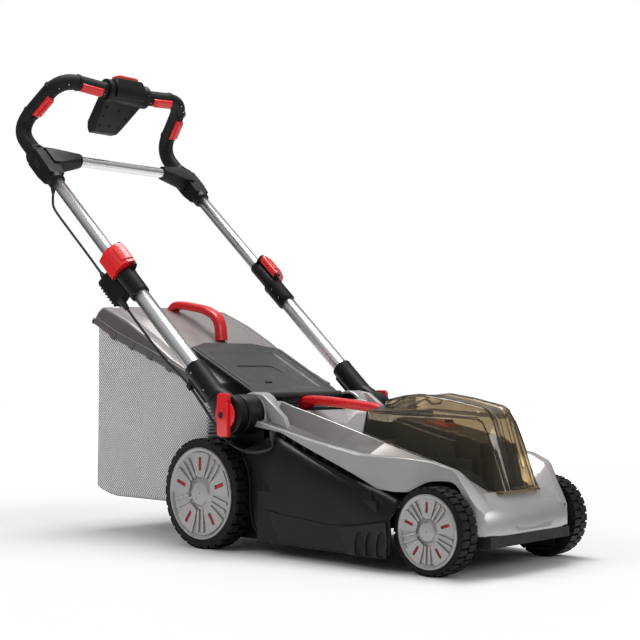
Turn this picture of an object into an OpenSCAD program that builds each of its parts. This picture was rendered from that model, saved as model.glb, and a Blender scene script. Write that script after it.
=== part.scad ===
// Cordless rotary lawn mower with a telescopic folding handle and a rear grass catcher.
// The mower stands on its wheels at z = 0, its front faces -Y and its left side is +X.

/* [Chassis] */
// Distance between the front and rear axles
wheelbase = 499; // [430:1:600]
// Outer diameter of a rear wheel
rear_wheel_d = 200; // [170:1:240]
// Outer diameter of a front wheel
front_wheel_d = 140; // [118:1:168]
// Width over the outer faces of the rear wheels
rear_track = 426; // [400:1:500]
// Width over the outer faces of the front wheels
front_track = 360; // [330:1:420]
// Tread width of a rear wheel
rear_wheel_w = 40; // [32:1:46]
// Tread width of a front wheel
front_wheel_w = 38; // [30:1:42]
// Outer width of the cutting deck
deck_w = 380; // [340:1:400]
// Height of the deck's lower edge above the ground at the lowest cut
deck_clearance = 22; // [15:1:30]
// Wall thickness of the large mouldings
wall = 3; // [2:0.2:4]

/* [Cutting] */
// Tip circle diameter of the blade
blade_d = 355; // [290:1:360]
// Thickness of the blade
blade_t = 3; // [2:0.5:4]
// Diameter of the motor can
motor_d = 104; // [80:1:120]
// Diameter of the motor shaft
shaft_d = 12; // [8:1:16]
// Radius of the height adjusting cranks
crank_r = 40; // [30:1:45]
// Diameter of the crank axles
axle_d = 12; // [10:1:14]

/* [Handle] */
// Angle of the handle tubes above the ground in use
handle_angle = 41.5; // [36:0.5:50]
// Distance between the centre lines of the two handle tubes
tube_gauge = 401; // [390:1:440]
// Outer diameter of the lower tubes
lower_tube_d = 31; // [28:0.5:34]
// Outer diameter of the upper tubes
upper_tube_d = 25.4; // [22:0.2:26]
// Length of the lower tubes
lower_tube_len = 332; // [290:1:400]
// Length of the upper tube that shows between clamp and grip in use
upper_tube_show = 245; // [200:1:300]
// Diameter of the grip loop
grip_d = 34; // [28:1:38]
// Diameter of the crossbar
crossbar_d = 22; // [16:1:26]
// Length of the crossbar that shows between its sockets
crossbar_show = 228; // [160:1:260]
// Radius of the handle pivots
pivot_hub_r = 36; // [30:1:40]
// Span of a wing knob
knob_span = 74; // [60:1:90]

/* [Catcher] */
// Outer width of the catcher's bag
bag_w = 330; // [280:1:336]
// Depth of the catcher from its mouth to its rear wall
bag_depth = 346; // [280:1:420]
// Height of the bag's floor above the ground
bag_floor = 70; // [55:1:100]
// Thickness of the bag's walls
bag_wall = 3; // [2:0.5:4]

/* [Cord] */
// Outer diameter of the control cable
cable_d = 5; // [4:0.5:7]

/* [Hidden] */
$fn = 64;

// General fits
run_gap = 0.05;   // radial clearance of a shaft in its bore
move_gap = 0.5;   // clearance between moving faces

// Half width of the deck
half = deck_w / 2;

// Wheels and axles
rear_r = rear_wheel_d / 2;
front_r = front_wheel_d / 2;
cap_proud = 3;
rear_face_x = rear_track / 2;
front_face_x = front_track / 2;
rear_out_x = rear_face_x - cap_proud;
front_out_x = front_face_x - cap_proud;
rear_in_x = rear_out_x - rear_wheel_w;
front_in_x = front_out_x - front_wheel_w;
tread_depth = 4;
tread_count = 30;
block_share = 0.075;   // half width of a tread block as a share of the wheel's radius
outer_row = 0.996;     // the outer row of blocks stands slightly lower than the inner row
rim_step = 16;
spokes = 5;

// Height adjustment
crank_swing = 30;
crank_dy = crank_r * cos(crank_swing);
crank_dz = crank_r * sin(crank_swing);
rear_pivot = [-crank_dy, rear_r - crank_dz];
front_pivot = [-wheelbase - crank_dy, front_r - crank_dz];
crank_web = 8;
crank_web_x = front_in_x - crank_web - 1;
rear_web_x = rear_in_x - crank_web - 1;
chute_half = 88;
chute_top_z = 252;
rod_x0 = chute_half + wall + 6;
rod_t = 6;
arm_len = 20;
arm_dy = -arm_len * sin(crank_swing);
arm_dz = arm_len * cos(crank_swing);
lever_y = -wheelbase * 0.42;
lever_z = lerp(rear_pivot[1], front_pivot[1], (lever_y - rear_pivot[0]) / (front_pivot[0] - rear_pivot[0]));
lever_pivot = [lever_y, lever_z];
lever_r = 5;
lever_len = 118;
lever_t = 5;
lever_x = half + 7;

// Deck
deck_top = 112;
blade_y = -wheelbase * 0.525;
side_front = -wheelbase + 80;
side_rear = -rear_r - 22;
waist = rear_web_x - 1.5;
prow = crank_web_x - 1.5;
nose_y = -wheelbase - front_r - 11;
nose_half = 118;
tail_y = 22;
shoulder_z = 182;
lip_top = 61;
lip_bottom = 44;

// Hood
ledge = half - 18;
spine_rear = 112;
spine_front = 54;
hood_rear_y = -88;
hood_top_z = 268;
bay_rear_y = -wheelbase * 0.6;
bay_floor_z = deck_top + wall;
bay_front_y = -wheelbase - 11;
bay_back_y = bay_rear_y - 29;

// Handle
pivot_y = -68;
pivot_z = 244;
tube_x = tube_gauge / 2;
lower_r = lower_tube_d / 2;
upper_r = upper_tube_d / 2;
lower_bore_r = upper_r + 0.3;
tube_foot = 48;
socket_top = 129;
lower_top = tube_foot + lower_tube_len;
collar_foot = lower_top - 40;
collar_neck = lower_top + 22;
collar_top = collar_neck + 64;
collar_r = lower_r + 4;
grip_foot = collar_top + upper_tube_show;
grip_head = grip_foot + 118;
insert_len = 140;
eye_in_x = tube_x - 13;
eye_out_x = tube_x + 9;
bolt_r = 6;
knob_disc_r = 25;

// Grip loop
grip_r = grip_d / 2;
bend_s = grip_head + 80;
corner_x = 170;
corner_yz = [500, 946];
bar_yz = [497, 938];
bar_half = 57;
crossbar_s = grip_foot + 72;
crossbar_lift = 16;
crossbar_r = crossbar_d / 2;

// Catcher
bag_half = bag_w / 2;
mouth_y = tail_y + 8;
bag_back = mouth_y + bag_depth;
rim_front_z = 262;
rim_slope = 24.3;
rim_h = 29;
lid_half = bag_half + 5;
seat_x = 122;

// Places all pieces so that the bounding box is centred in Y
grip_back = max([for (p = grip_path()) p[1]]) + grip_r;
shift_y = -(grip_back + nose_y) / 2;

function lerp(a, b, t) = a + (b - a) * t;
function rim_z(y) = rim_front_z + (y - mouth_y) * tan(rim_slope);
function along(s, n = 0) =
  [pivot_y + s * cos(handle_angle) - n * sin(handle_angle),
   pivot_z + s * sin(handle_angle) + n * cos(handle_angle)];
function mirrored(points) =
  [for (i = [len(points) - 1 : -1 : 0]) [-points[i][0], points[i][1]]];

module in_frame() {
  translate([0, shift_y, 0]) children();
}

// Turns a shape drawn along +Z so that it lies along +X
module along_x() {
  rotate([0, 90, 0]) children();
}

module rod_x(x0, x1, y, z, r) {
  translate([min(x0, x1), y, z]) along_x() cylinder(r = r, h = abs(x1 - x0));
}

// A plate drawn as [y, z] outline points, between two X positions
module plate_x(x0, x1) {
  translate([min(x0, x1), 0, 0])
    rotate([90, 0, 90])
      linear_extrude(height = abs(x1 - x0)) children();
}

// A plate drawn as [x, z] outline points, running through the whole depth
module plate_front(points) {
  translate([0, 2 * wheelbase, 0]) rotate([90, 0, 0]) linear_extrude(height = 4 * wheelbase) polygon(points);
}

// A column drawn as [x, y] outline points, running through the whole height
module plate_top(points) {
  linear_extrude(height = 3 * wheelbase) polygon(points);
}

module box_span(low, high) {
  translate(low) cube(high - low);
}

module both_sides() {
  children();
  mirror([1, 0, 0]) children();
}

// Local frame on a handle tube: +Z runs up the tube and -Y points forwards and up
module on_tube(side, s = 0) {
  translate([side * tube_x, along(s)[0], along(s)[1]])
    rotate([handle_angle - 90, 0, 0]) children();
}

// Solid that joins rings of equally many [x, z] points placed at the stations y. A ring lists its
// +X half, then the mirrored half, and each half can be seen whole from its last point.
function ring_fans(n, first) = let (m = n / 2)
  concat([for (k = [0 : m - 3]) [first + k, first + k + 1, first + m - 1]],
         [for (k = [m + 1 : n - 2]) [first + m, first + k, first + k + 1]],
         [[first, first + m - 1, first + m], [first, first + m, first + n - 1]]);
module loft_y(stations, rings) {
  n = len(rings[0]);
  m = len(rings);
  points = [for (i = [0 : m - 1]) for (p = rings[i]) [p[0], stations[i], p[1]]];
  sides = [for (i = [0 : m - 2]) for (j = [0 : n - 1])
    let (a = i * n + j, b = i * n + (j + 1) % n, c = a + n, d = b + n)
      for (face = [[a, b, c], [b, d, c]]) face];
  front = [for (f = ring_fans(n, 0)) [f[2], f[1], f[0]]];
  polyhedron(points, concat(sides, front, ring_fans(n, (m - 1) * n)), convexity = 8);
}

// Tube of round section swept along a list of [x, y, z] points
function unit(v) = v / norm(v);
function tangent(path, i) =
  unit(path[min(i + 1, len(path) - 1)] - path[max(i - 1, 0)]);
function swept(u, t) = unit(u - (u * t) * t);
function carried(path, i, u0) =
  i == 0 ? swept(u0, tangent(path, 0)) : swept(carried(path, i - 1, u0), tangent(path, i));
module sweep_tube(path, r, sides = 12, up = [0.1, 1, 0.3]) {
  m = len(path);
  points = [for (i = [0 : m - 1])
    let (t = tangent(path, i), u = carried(path, i, up), v = cross(t, u))
      for (k = [0 : sides - 1])
        path[i] + r * cos(k * 360 / sides) * u + r * sin(k * 360 / sides) * v];
  skin = [for (i = [0 : m - 2]) for (k = [0 : sides - 1])
    let (a = i * sides + k, b = i * sides + (k + 1) % sides, c = a + sides, d = b + sides)
      for (face = [[a, c, b], [b, c, d]]) face];
  head = [for (k = [0 : sides - 1]) k];
  foot = [for (k = [sides - 1 : -1 : 0]) (m - 1) * sides + k];
  polyhedron(points, concat(skin, [head, foot]), convexity = 6);
}
// Quadratic curve through a corner, from the middle of one leg to the middle of the next
function arc_points(a, b, c, n) =
  [for (k = [0 : n - 1]) let (t = k / n)
    (1 - t) * (1 - t) * (a + b) / 2 + 2 * t * (1 - t) * b + t * t * (b + c) / 2];
function smooth(pts, n) = concat(
  [pts[0]],
  [for (i = [1 : len(pts) - 2]) each arc_points(pts[i - 1], pts[i], pts[i + 1], n)],
  [(pts[len(pts) - 2] + pts[len(pts) - 1]) / 2, pts[len(pts) - 1]]);

// ---------------------------------------------------------------- chassis

// Half outline of the deck in plan, from the tail to the nose
function deck_edge(inset) = [
  [waist - inset, tail_y],
  [waist - inset, side_rear + 22],
  [half - inset, side_rear - 6 + inset],
  [half - inset, side_front + 14 - inset],
  [prow - inset, side_front - 2 - inset],
  [prow - inset, -wheelbase - 30],
  [nose_half - 6 - inset, nose_y + 6 + inset]
];
module deck_plan(inset) {
  edge = deck_edge(inset);
  polygon(concat(edge, mirrored(edge)));
}

// Upright that carries one handle pivot
module pivot_tower(gap = 0) {
  rod_x(118 - gap, eye_in_x - move_gap + gap, pivot_y, pivot_z, pivot_hub_r - 1 + gap);
  plate_x(118 - gap, 150 + gap)
    polygon([[pivot_y - 35 - gap, deck_top - gap], [pivot_y + 38 + gap, deck_top - gap],
             [pivot_y + 35 + gap, pivot_z], [pivot_y - 35 - gap, pivot_z]]);
}

module fender(x0, x1, y, z, r, a0, a1) {
  pts = concat(
    [for (a = [a0 : 6 : a1]) [y + r * cos(a), z + r * sin(a)]],
    [for (a = [a1 : -6 : a0]) [y + (r + wall) * cos(a), z + (r + wall) * sin(a)]]);
  plate_x(x0, x1) polygon(pts);
}

module chute_walls() {
  difference() {
    plate_x(-chute_half - wall, chute_half + wall)
      polygon([[-150, deck_top - 20], [tail_y, deck_top - 20], [tail_y, chute_top_z - 2],
               [pivot_y + 14, chute_top_z], [pivot_y - 12, chute_top_z - 8]]);
    chute_space();
  }
}

module chute_space() {
  plate_x(-chute_half, chute_half)
    polygon([[-146, deck_top - 24], [-60, deck_top - 14], [tail_y + 1, deck_top - 14],
             [tail_y + 1, chute_top_z - 8], [pivot_y + 16, chute_top_z - 6], [pivot_y - 8, chute_top_z - 13]]);
}

module deck() {
  color([0.07, 0.07, 0.07]) in_frame() {
    difference() {
      union() {
        difference() {
          translate([0, 0, deck_clearance])
            linear_extrude(height = deck_top - deck_clearance) deck_plan(0);
          translate([0, 0, deck_clearance - 1])
            linear_extrude(height = deck_top - deck_clearance + 1 - wall) deck_plan(wall);
        }
        // bulging shoulders over the side walls
        both_sides() difference() {
          hull() {
            box_span([half - 60, side_front + 22, deck_top - wall], [half, side_rear - 12, deck_top]);
            box_span([half - 60, side_front + 28, 126], [half - 2, side_rear - 16, 128]);
            box_span([half - 60, side_rear - 40, 202], [half - 16, side_rear - 10, 204]);
          }
          hull() {
            box_span([half - 61, side_front + 22 + wall, deck_top - wall - 1],
                     [half - wall, side_rear - 12 - wall, deck_top]);
            box_span([half - 61, side_front + 28 + wall, 126 - wall],
                     [half - 2 - wall, side_rear - 16 - wall, 128 - wall]);
            box_span([half - 61, side_rear - 40, 202 - wall], [half - 16 - wall, side_rear - 10 - wall, 204 - wall]);
          }
        }
        both_sides() pivot_tower();
        both_sides() fender(waist - wall, rear_in_x + 12, 0, rear_r, rear_r + 7, 84, 186);
        chute_walls();
        // bearings of the two crank axles
        both_sides() box_span([waist - 20, rear_pivot[0] - 14, rear_pivot[1] - 12],
                              [waist - wall + 1, rear_pivot[0] + 14, deck_top - 1]);
        both_sides() box_span([prow - 20, front_pivot[0] - 12, front_pivot[1] - 12],
                              [prow - wall + 1, front_pivot[0] + 12, deck_top - 1]);
        box_span([half - 22, lever_y - 10, lever_z - 10], [half - wall + 1, lever_y + 10, deck_top - 1]);
      }
      // discharge window in the top plate and the tail
      chute_space();
      // the nose keeps only a low lip under the hood
      box_span([-half, nose_y - 10, lip_top], [half, -wheelbase - 36, deck_top + 10]);
      box_span([-half, nose_y - 10, 0], [half, -wheelbase - 36, lip_bottom]);
      rod_x(half - 24, half + 10, lever_pivot[0], lever_pivot[1], lever_r + run_gap);
      translate([0, blade_y, deck_top - wall - 1]) {
        cylinder(r = shaft_d / 2 + 6, h = wall + 2);
        motor_screw_spots() cylinder(r = screw_r / 2, h = wall + 2);
      }
      rod_x(-half - 20, half + 20, rear_pivot[0], rear_pivot[1], axle_d / 2 + run_gap);
      rod_x(-half - 20, half + 20, front_pivot[0], front_pivot[1], axle_d / 2 + run_gap);
      rod_x(-half - 60, half + 60, pivot_y, pivot_z, bolt_r);
    }
  }
}

// Hood section on the +X side: valley, spine, recess, ledge and skirt, then back under the valley
function hood_half(s) = [
  [s[1], s[2]], [s[3] - 10, s[4] - 6], [s[3], s[4]], [s[5], s[6]], [s[7], s[8]], [s[9], s[10]],
  [s[9] - wall - 1.5, s[10]], [s[1] + 4, s[2] - 12]
];
function hood_inner(s) = [
  [s[1] + wall, s[2] - wall], [s[3] - 9, s[4] - 6 - wall], [s[3] - 1, s[4] - wall],
  [s[5] - wall / 2, s[6] - wall], [s[7] - wall, s[8] - wall], [s[9] - wall, s[10] - 1],
  [s[9] - wall - 2.5, s[10] - 2], [s[1] + 3.5, s[2] - 14]
];
function whole_ring(side) = concat(side, mirrored(side));

// [y, valley half width, valley z, spine x, spine z, recess x, z, ledge x, z, skirt x, z]
function hood_table() = [
  [hood_rear_y, 84, 248, spine_rear, hood_top_z, spine_rear + 14, 240, ledge - 8, 236, ledge - 2, 222],
  [-135, 64, 226, spine_rear, 260, spine_rear + 24, 228, ledge, 224, ledge + 4, 218],
  [lerp(0, -wheelbase, 0.48), 62, 214, spine_rear - 2, 233, ledge - 32, 204, ledge, 203, ledge + 5, 190],
  [bay_rear_y, 60, 202, spine_rear - 10, 216, ledge - 32, 190, ledge, 192, ledge + 5, 169],
  [bay_back_y + 4, 60, 200, spine_rear - 14, 207, ledge - 34, 184, ledge, 187, ledge + 5, 158],
  [bay_back_y + 1, 60, bay_floor_z, spine_rear - 14.5, 206, ledge - 34, 184, ledge, 187, ledge + 5, 157],
  [lerp(0, -wheelbase, 0.73), 60, bay_floor_z, spine_rear - 18, 196, ledge - 36, 178, ledge, shoulder_z, ledge + 5, 146],
  [-wheelbase + 62, 59, bay_floor_z, 84, 173, ledge - 50, 172, ledge - 10, shoulder_z, ledge, 130],
  [-wheelbase - 20, 54, bay_floor_z, 68, 135, front_in_x - 28, 146, front_in_x - 6, 164, front_in_x - 4, 140],
  [-wheelbase - 48, 44, bay_floor_z, 58, 122, front_in_x - 36, 112, front_in_x - 12, 120, front_in_x - 10, 90],
  [nose_y + 14, 42, 101, spine_front, 109, 80, 105, nose_half - 8, 100, nose_half - 6, 66]
];

// The inner skin runs out at both ends
function hood_inner_table() = let (t = hood_table(), last = len(t) - 1)
  [for (i = [0 : last]) [for (k = [0 : 10])
    k == 0 ? t[i][0] + (i == 0 ? 1 : (i == last ? -1 : 0)) : t[i][k]]];

// Crest line of the hood beside the battery bay
function spine_x(y) = lookup(y, [for (s = hood_table()) [s[0], s[3]]]);
function spine_z(y) = lookup(y, [for (s = hood_table()) [s[0], s[4]]]);

module nose_plan(inset) {
  side = [[prow - 2 - inset, -wheelbase - 42], [prow - 6 - inset, -wheelbase - 56],
          [nose_half - 10 - inset, nose_y + 10 + inset / 2], [75 - inset, nose_y + inset]];
  polygon(concat(side, mirrored(side)));
}

module nose() {
  difference() {
    hull() {
      translate([0, 0, lip_top + 1]) linear_extrude(height = 26) nose_plan(0);
      box_span([-spine_front + 1, nose_y + 9, 100], [spine_front - 1, nose_y + 15.5, 108.7]);
      box_span([-nose_half + 14, nose_y + 15, 92], [nose_half - 14, nose_y + 24, 102.6]);
    }
    hull() {
      translate([0, 0, lip_top]) linear_extrude(height = 25) nose_plan(wall);
      box_span([-spine_front + 4, nose_y + 12, 97], [spine_front - 4, nose_y + 16, 105]);
      box_span([-nose_half + 17, nose_y + 17, 90], [nose_half - 17, nose_y + 26, 98.6]);
    }
  }
}

hinge_yz = [bay_rear_y + 8, 258];
knuckle_r = 5;
pin_r = 2;
module hood() {
  color([0.66, 0.65, 0.64]) in_frame() difference() {
    union() {
      difference() {
        loft_y([for (s = hood_table()) s[0]], [for (s = hood_table()) whole_ring(hood_half(s))]);
        loft_y([for (s = hood_inner_table()) s[0]],
               [for (s = hood_inner_table()) whole_ring(hood_inner(s))]);
      }
      nose();
      // bulkhead behind the battery bay and its two flanks
      difference() {
        hull() {
          box_span([-spine_rear + 4, bay_rear_y + 4, 204], [spine_rear - 4, bay_rear_y + 60, 214]);
          box_span([-88, bay_rear_y + 4, 240], [88, bay_rear_y + 30, 252]);
        }
        box_span([-spine_rear, bay_rear_y + 4 + wall, 200], [spine_rear, bay_rear_y + 56, 209]);
      }
      // silver ears that wrap the pivot towers
      both_sides() difference() {
        rod_x(112, 148, pivot_y, pivot_z, pivot_hub_r + 3);
        box_span([100, pivot_y - 60, 190], [160, pivot_y + 60, 226]);
        box_span([100, pivot_y + 8, 190], [160, pivot_y + 60, 300]);
      }
      // lugs of the cover hinge
      both_sides() for (x0 = [17, 40.6]) {
        rod_x(x0, x0 + 6.4, hinge_yz[0], hinge_yz[1], knuckle_r);
        box_span([x0, hinge_yz[0] - knuckle_r + 1, hinge_yz[1] - 8], [x0 + 6.4, hinge_yz[0] + knuckle_r, hinge_yz[1]]);
      }
    }
    both_sides() rod_x(16, 48, hinge_yz[0], hinge_yz[1], pin_r);
    both_sides() pivot_tower(0.1);
    both_sides() rod_x(110, 120, pivot_y, pivot_z, bolt_r + 6);
    // arches over the front wheels
    both_sides() rod_x(front_in_x - 3, half + 20, -wheelbase, front_r, front_r + 6);
  }
}

// Scalloped guard on each side wall, just behind the front wheels
module grass_combs() {
  color([0.09, 0.09, 0.09]) in_frame() both_sides() difference() {
    plate_x(half, half + 4)
      polygon([[side_front - 8, deck_clearance + 34], [side_front + 2, deck_clearance + 50],
               [side_front + 64, deck_clearance + 44], [side_front + 70, deck_clearance - 2],
               [side_front + 12, deck_clearance - 2], [side_front, deck_clearance + 10]]);
    for (k = [0 : 2])
      plate_x(half - 1, half + 5) translate([side_front + 8 + k * 19, 0])
        polygon([[0, deck_clearance + 4], [10, deck_clearance + 4], [12, deck_clearance + 36], [4, deck_clearance + 40]]);
  }
}

// Places its child at each screw of the motor's flange, around the motor axis
screw_r = 3;
module motor_screw_spots() {
  for (a = [45 : 90 : 315])
    translate([(motor_d / 2 + 4) * cos(a), (motor_d / 2 + 4) * sin(a), 0]) children();
}

module motor_can() {
  color([0.45, 0.46, 0.48]) in_frame() translate([0, blade_y, 0]) difference() {
    union() {
      translate([0, 0, deck_top]) cylinder(r = motor_d / 2 + 8, h = 5);
      translate([0, 0, deck_top]) cylinder(r = motor_d / 2, h = 70);
      translate([0, 0, deck_top]) cylinder(r = motor_d / 2 - 14, h = 80);
    }
    translate([0, 0, deck_top - 1]) cylinder(r = shaft_d / 2 + run_gap, h = 75);
    motor_screw_spots() translate([0, 0, deck_top - 1]) cylinder(r = screw_r / 2, h = 8);
  }
}

module motor_controller() {
  color([0.12, 0.13, 0.15]) in_frame()
    box_span([-52, blade_y + motor_d / 2 + 11, deck_top], [52, blade_y + motor_d / 2 + 53, deck_top + 38]);
}

module carry_handle() {
  color([0.8, 0.1, 0.08]) in_frame() plate_x(-13, 13)
    polygon([[pivot_y + 10, chute_top_z - 1.2], [pivot_y + 7, 262], [pivot_y, 268], [pivot_y - 30, 272],
             [pivot_y - 92, 268], [pivot_y - 158, 260], [bay_rear_y + 30, 256],
             [bay_rear_y + 30, 252], [bay_rear_y + 41.05, 238], [pivot_y - 116, 241], [pivot_y - 96, 250],
             [pivot_y - 34, 256], [pivot_y - 16, 254], [pivot_y - 12, chute_top_z - 8]]);
}

module battery_tray() {
  color([0.06, 0.06, 0.06]) in_frame() {
    difference() {
      box_span([-56, bay_front_y, bay_floor_z], [56, bay_back_y, bay_floor_z + 62]);
      box_span([-52, bay_front_y + 4, bay_floor_z + 4], [52, bay_back_y - 4, bay_floor_z + 70]);
      // corner relief along the narrowing hood
      both_sides() plate_top([[58, bay_front_y - 1], [46, bay_front_y - 1], [58, bay_front_y + 34]]);
    }
    // guide towers in front of the pack
    both_sides() hull() {
      box_span([20, bay_front_y - 22, bay_floor_z], [42, bay_front_y + 2, bay_floor_z + 4]);
      box_span([24, bay_front_y - 6, bay_floor_z + 82], [36, bay_front_y, bay_floor_z + 86]);
    }
  }
}

battery_half = 51.5;
module battery_pack() {
  color([0.08, 0.08, 0.09]) in_frame() difference() {
    plate_x(-battery_half, battery_half)
      polygon([[bay_front_y + 5, bay_floor_z + 4], [bay_back_y - 4.5, bay_floor_z + 4],
               [bay_back_y - 4.5, 208], [bay_rear_y - 8, 210], [bay_rear_y - 8, 243],
               [bay_rear_y - 16, 246], [bay_front_y + 20, 211], [bay_front_y + 5, 203]]);
    // pocket of the release button
    box_span([-16, bay_rear_y - 112, 216], [16, bay_rear_y - 78, 260]);
    // chamfered top corners
    both_sides() plate_front([[battery_half + 1, 180], [battery_half + 1, 260], [battery_half - 12, 260], [battery_half - 1, 196]]);
    both_sides() plate_top([[60, bay_front_y - 1], [46 - 3, bay_front_y - 1], [60, bay_front_y + 45]]);
  }
}

module battery_release() {
  color([0.75, 0.2, 0.08]) in_frame()
    box_span([-16 + move_gap, bay_rear_y - 112 + move_gap, 221], [16 - move_gap, bay_rear_y - 78 - move_gap, 238]);
}

// Cover section: crown, shoulder and lower edge, then the inner skin
cover_t = 2.5;
function cover_half(s) = [[s[1], s[2]], [s[3], s[4]], [s[5], s[6]]];
function cover_inner(s) =
  [[s[1] - 1, s[2] - cover_t], [s[3] - cover_t, s[4] - cover_t], [s[5] - cover_t, s[6] - 1]];
// [y, crown half width, crown z, shoulder x, z, lower edge x, z]
edge_in = 5;   // the lower edge sits this far inside the crest of the hood
function cover_row(y, top_x, top_z, side_x, side_z) =
  [y, top_x, top_z, side_x, side_z, spine_x(y) - edge_in, spine_z(y) - 1];
function cover_table() = [
  cover_row(bay_rear_y + 3, 40, 262, 76, 254),
  cover_row(bay_back_y + 1, 42, 272, 70, 256),
  cover_row(lerp(0, -wheelbase, 0.73), 42, 281, 66, 256),
  cover_row(-wheelbase + 62, 37, 272, 58, 250),
  cover_row(-wheelbase - 6, 30, 258, 48, 243),
  cover_row(-wheelbase - 14, 28, 250, 46, 238),
  cover_row(-wheelbase - 34, 28, 196, 46, 188),
  cover_row(-wheelbase - 58, 30, 128, 44, 126)
];

module battery_cover() {
  color([0.55, 0.45, 0.3, 0.5]) in_frame() {
    difference() {
      loft_y([for (s = cover_table()) s[0]], [for (s = cover_table()) whole_ring(cover_half(s))]);
      loft_y([for (s = cover_table()) s[0] + cover_t + (s[0] == cover_table()[0][0] ? 2 : 0)],
             [for (s = cover_table()) whole_ring(cover_inner(s))]);
    }
    both_sides() difference() {
      hull() {
        rod_x(24, 40, hinge_yz[0], hinge_yz[1], knuckle_r);
        box_span([24, bay_rear_y - 3, 257], [40, bay_rear_y + 2, 262]);
      }
      rod_x(20, 44, hinge_yz[0], hinge_yz[1], pin_r + run_gap);
    }
  }
}

module screw(r, h) {
  difference() {
    union() {
      cylinder(r = r, h = 2);
      translate([0, 0, -h]) cylinder(r = r / 2, h = h + 1);
    }
    translate([0, 0, 1]) cylinder(r = r / 2, h = 3, $fn = 6);
  }
}

module body_screws() {
  color([0.3, 0.3, 0.3]) in_frame() {
    translate([0, blade_y, deck_top + 5]) motor_screw_spots() screw(screw_r, 7);
    // pin of the cover hinge
    both_sides() rod_x(18, 46, hinge_yz[0], hinge_yz[1], pin_r);
  }
}

module pivot_bolts() {
  color([0.75, 0.75, 0.77]) in_frame() both_sides() {
    rod_x(112, eye_out_x + 10, pivot_y, pivot_z, bolt_r);
    rod_x(108, 112, pivot_y, pivot_z, bolt_r + 5);
  }
}

// Notched plate beside the height lever
module height_gate() {
  color([0.1, 0.1, 0.1]) in_frame() difference() {
    plate_x(half, half + 4)
      polygon(concat(
        [[lever_y - 62, deck_top - 26], [lever_y + 62, deck_top - 26]],
        [for (a = [55 : 5 : 125]) lever_pivot + (lever_len - 12) * [cos(a), sin(a)]]));
    for (a = [60 : 12 : 120])
      rod_x(half - 1, half + 5, lever_y + (lever_len - 12) * cos(a), lever_z + (lever_len - 12) * sin(a), 3.2);
  }
}

module cable_grommet() {
  color([0.05, 0.05, 0.05]) in_frame()
    translate([-182.2, -158, 200.2]) cylinder(r1 = 4, r2 = 6, h = 16);
}

// ---------------------------------------------------------------- height adjustment

module crank(pivot, wheel_y, wheel_z, web_x, out_x) {
  rod_x(-web_x, web_x, pivot[0], pivot[1], axle_d / 2);
  both_sides() {
    hull() {
      rod_x(web_x, web_x + crank_web, pivot[0], pivot[1], axle_d / 2 + 4);
      rod_x(web_x, web_x + crank_web, wheel_y, wheel_z, axle_d / 2 + 4);
    }
    rod_x(web_x + crank_web - 1, out_x - 4, wheel_y, wheel_z, axle_d / 2);
  }
}

// Short arm that carries the tie rod's pin
module rod_arm(pivot) {
  y = pivot[0] + arm_dy;
  z = pivot[1] + arm_dz;
  hull() {
    rod_x(rod_x0 + rod_t + 0.5, rod_x0 + rod_t + 5, pivot[0], pivot[1], axle_d / 2 + 2);
    rod_x(rod_x0 + rod_t + 0.5, rod_x0 + rod_t + 5, y, z, 6);
  }
  rod_x(rod_x0 - 2, rod_x0 + rod_t + 2, y, z, 3);
}

module rear_crank() {
  color([0.7, 0.7, 0.72]) in_frame() {
    crank(rear_pivot, 0, rear_r, rear_web_x, rear_out_x);
    rod_arm(rear_pivot);
  }
}

module front_crank() {
  color([0.7, 0.7, 0.72]) in_frame() {
    crank(front_pivot, -wheelbase, front_r, crank_web_x, front_out_x);
    rod_arm(front_pivot);
  }
}

// Point on the height lever at a share of its length, as [y, z]
function on_lever(share) =
  lever_pivot + share * lever_len * [-sin(crank_swing), cos(crank_swing)];

module lever_blade() {
  hull() {
    rod_x(lever_x, lever_x + lever_t, lever_y, lever_z, 10);
    rod_x(lever_x, lever_x + lever_t, on_lever(1)[0], on_lever(1)[1], 7);
  }
}

module height_lever() {
  color([0.7, 0.7, 0.72]) in_frame() {
    rod_x(rod_x0 + rod_t + 1, lever_x, lever_y, lever_z, lever_r);
    rod_arm(lever_pivot);
    lever_blade();
  }
}

module height_knob() {
  color([0.8, 0.1, 0.08]) in_frame() difference() {
    hull() {
      rod_x(lever_x - 2, lever_x + 12, on_lever(0.98)[0], on_lever(0.98)[1], 9);
      rod_x(lever_x - 2, lever_x + 12, on_lever(1.2)[0], on_lever(1.2)[1], 10);
    }
    lever_blade();
  }
}

module tie_rod() {
  a = rear_pivot + [arm_dy, arm_dz];
  b = front_pivot + [arm_dy, arm_dz];
  c = lever_pivot + [arm_dy, arm_dz];
  rise = [0, 4];
  color([0.7, 0.7, 0.72]) in_frame() difference() {
    union() {
      plate_x(rod_x0, rod_x0 + rod_t) polygon([a - rise, a + rise, b + rise, b - rise]);
      for (p = [a, b, c])
        rod_x(rod_x0, rod_x0 + rod_t, p[0], p[1], 7);
    }
    for (p = [a, b, c])
      rod_x(rod_x0 - 3, rod_x0 + rod_t + 3, p[0], p[1], 3 + run_gap);
  }
}

// ---------------------------------------------------------------- wheels

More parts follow.
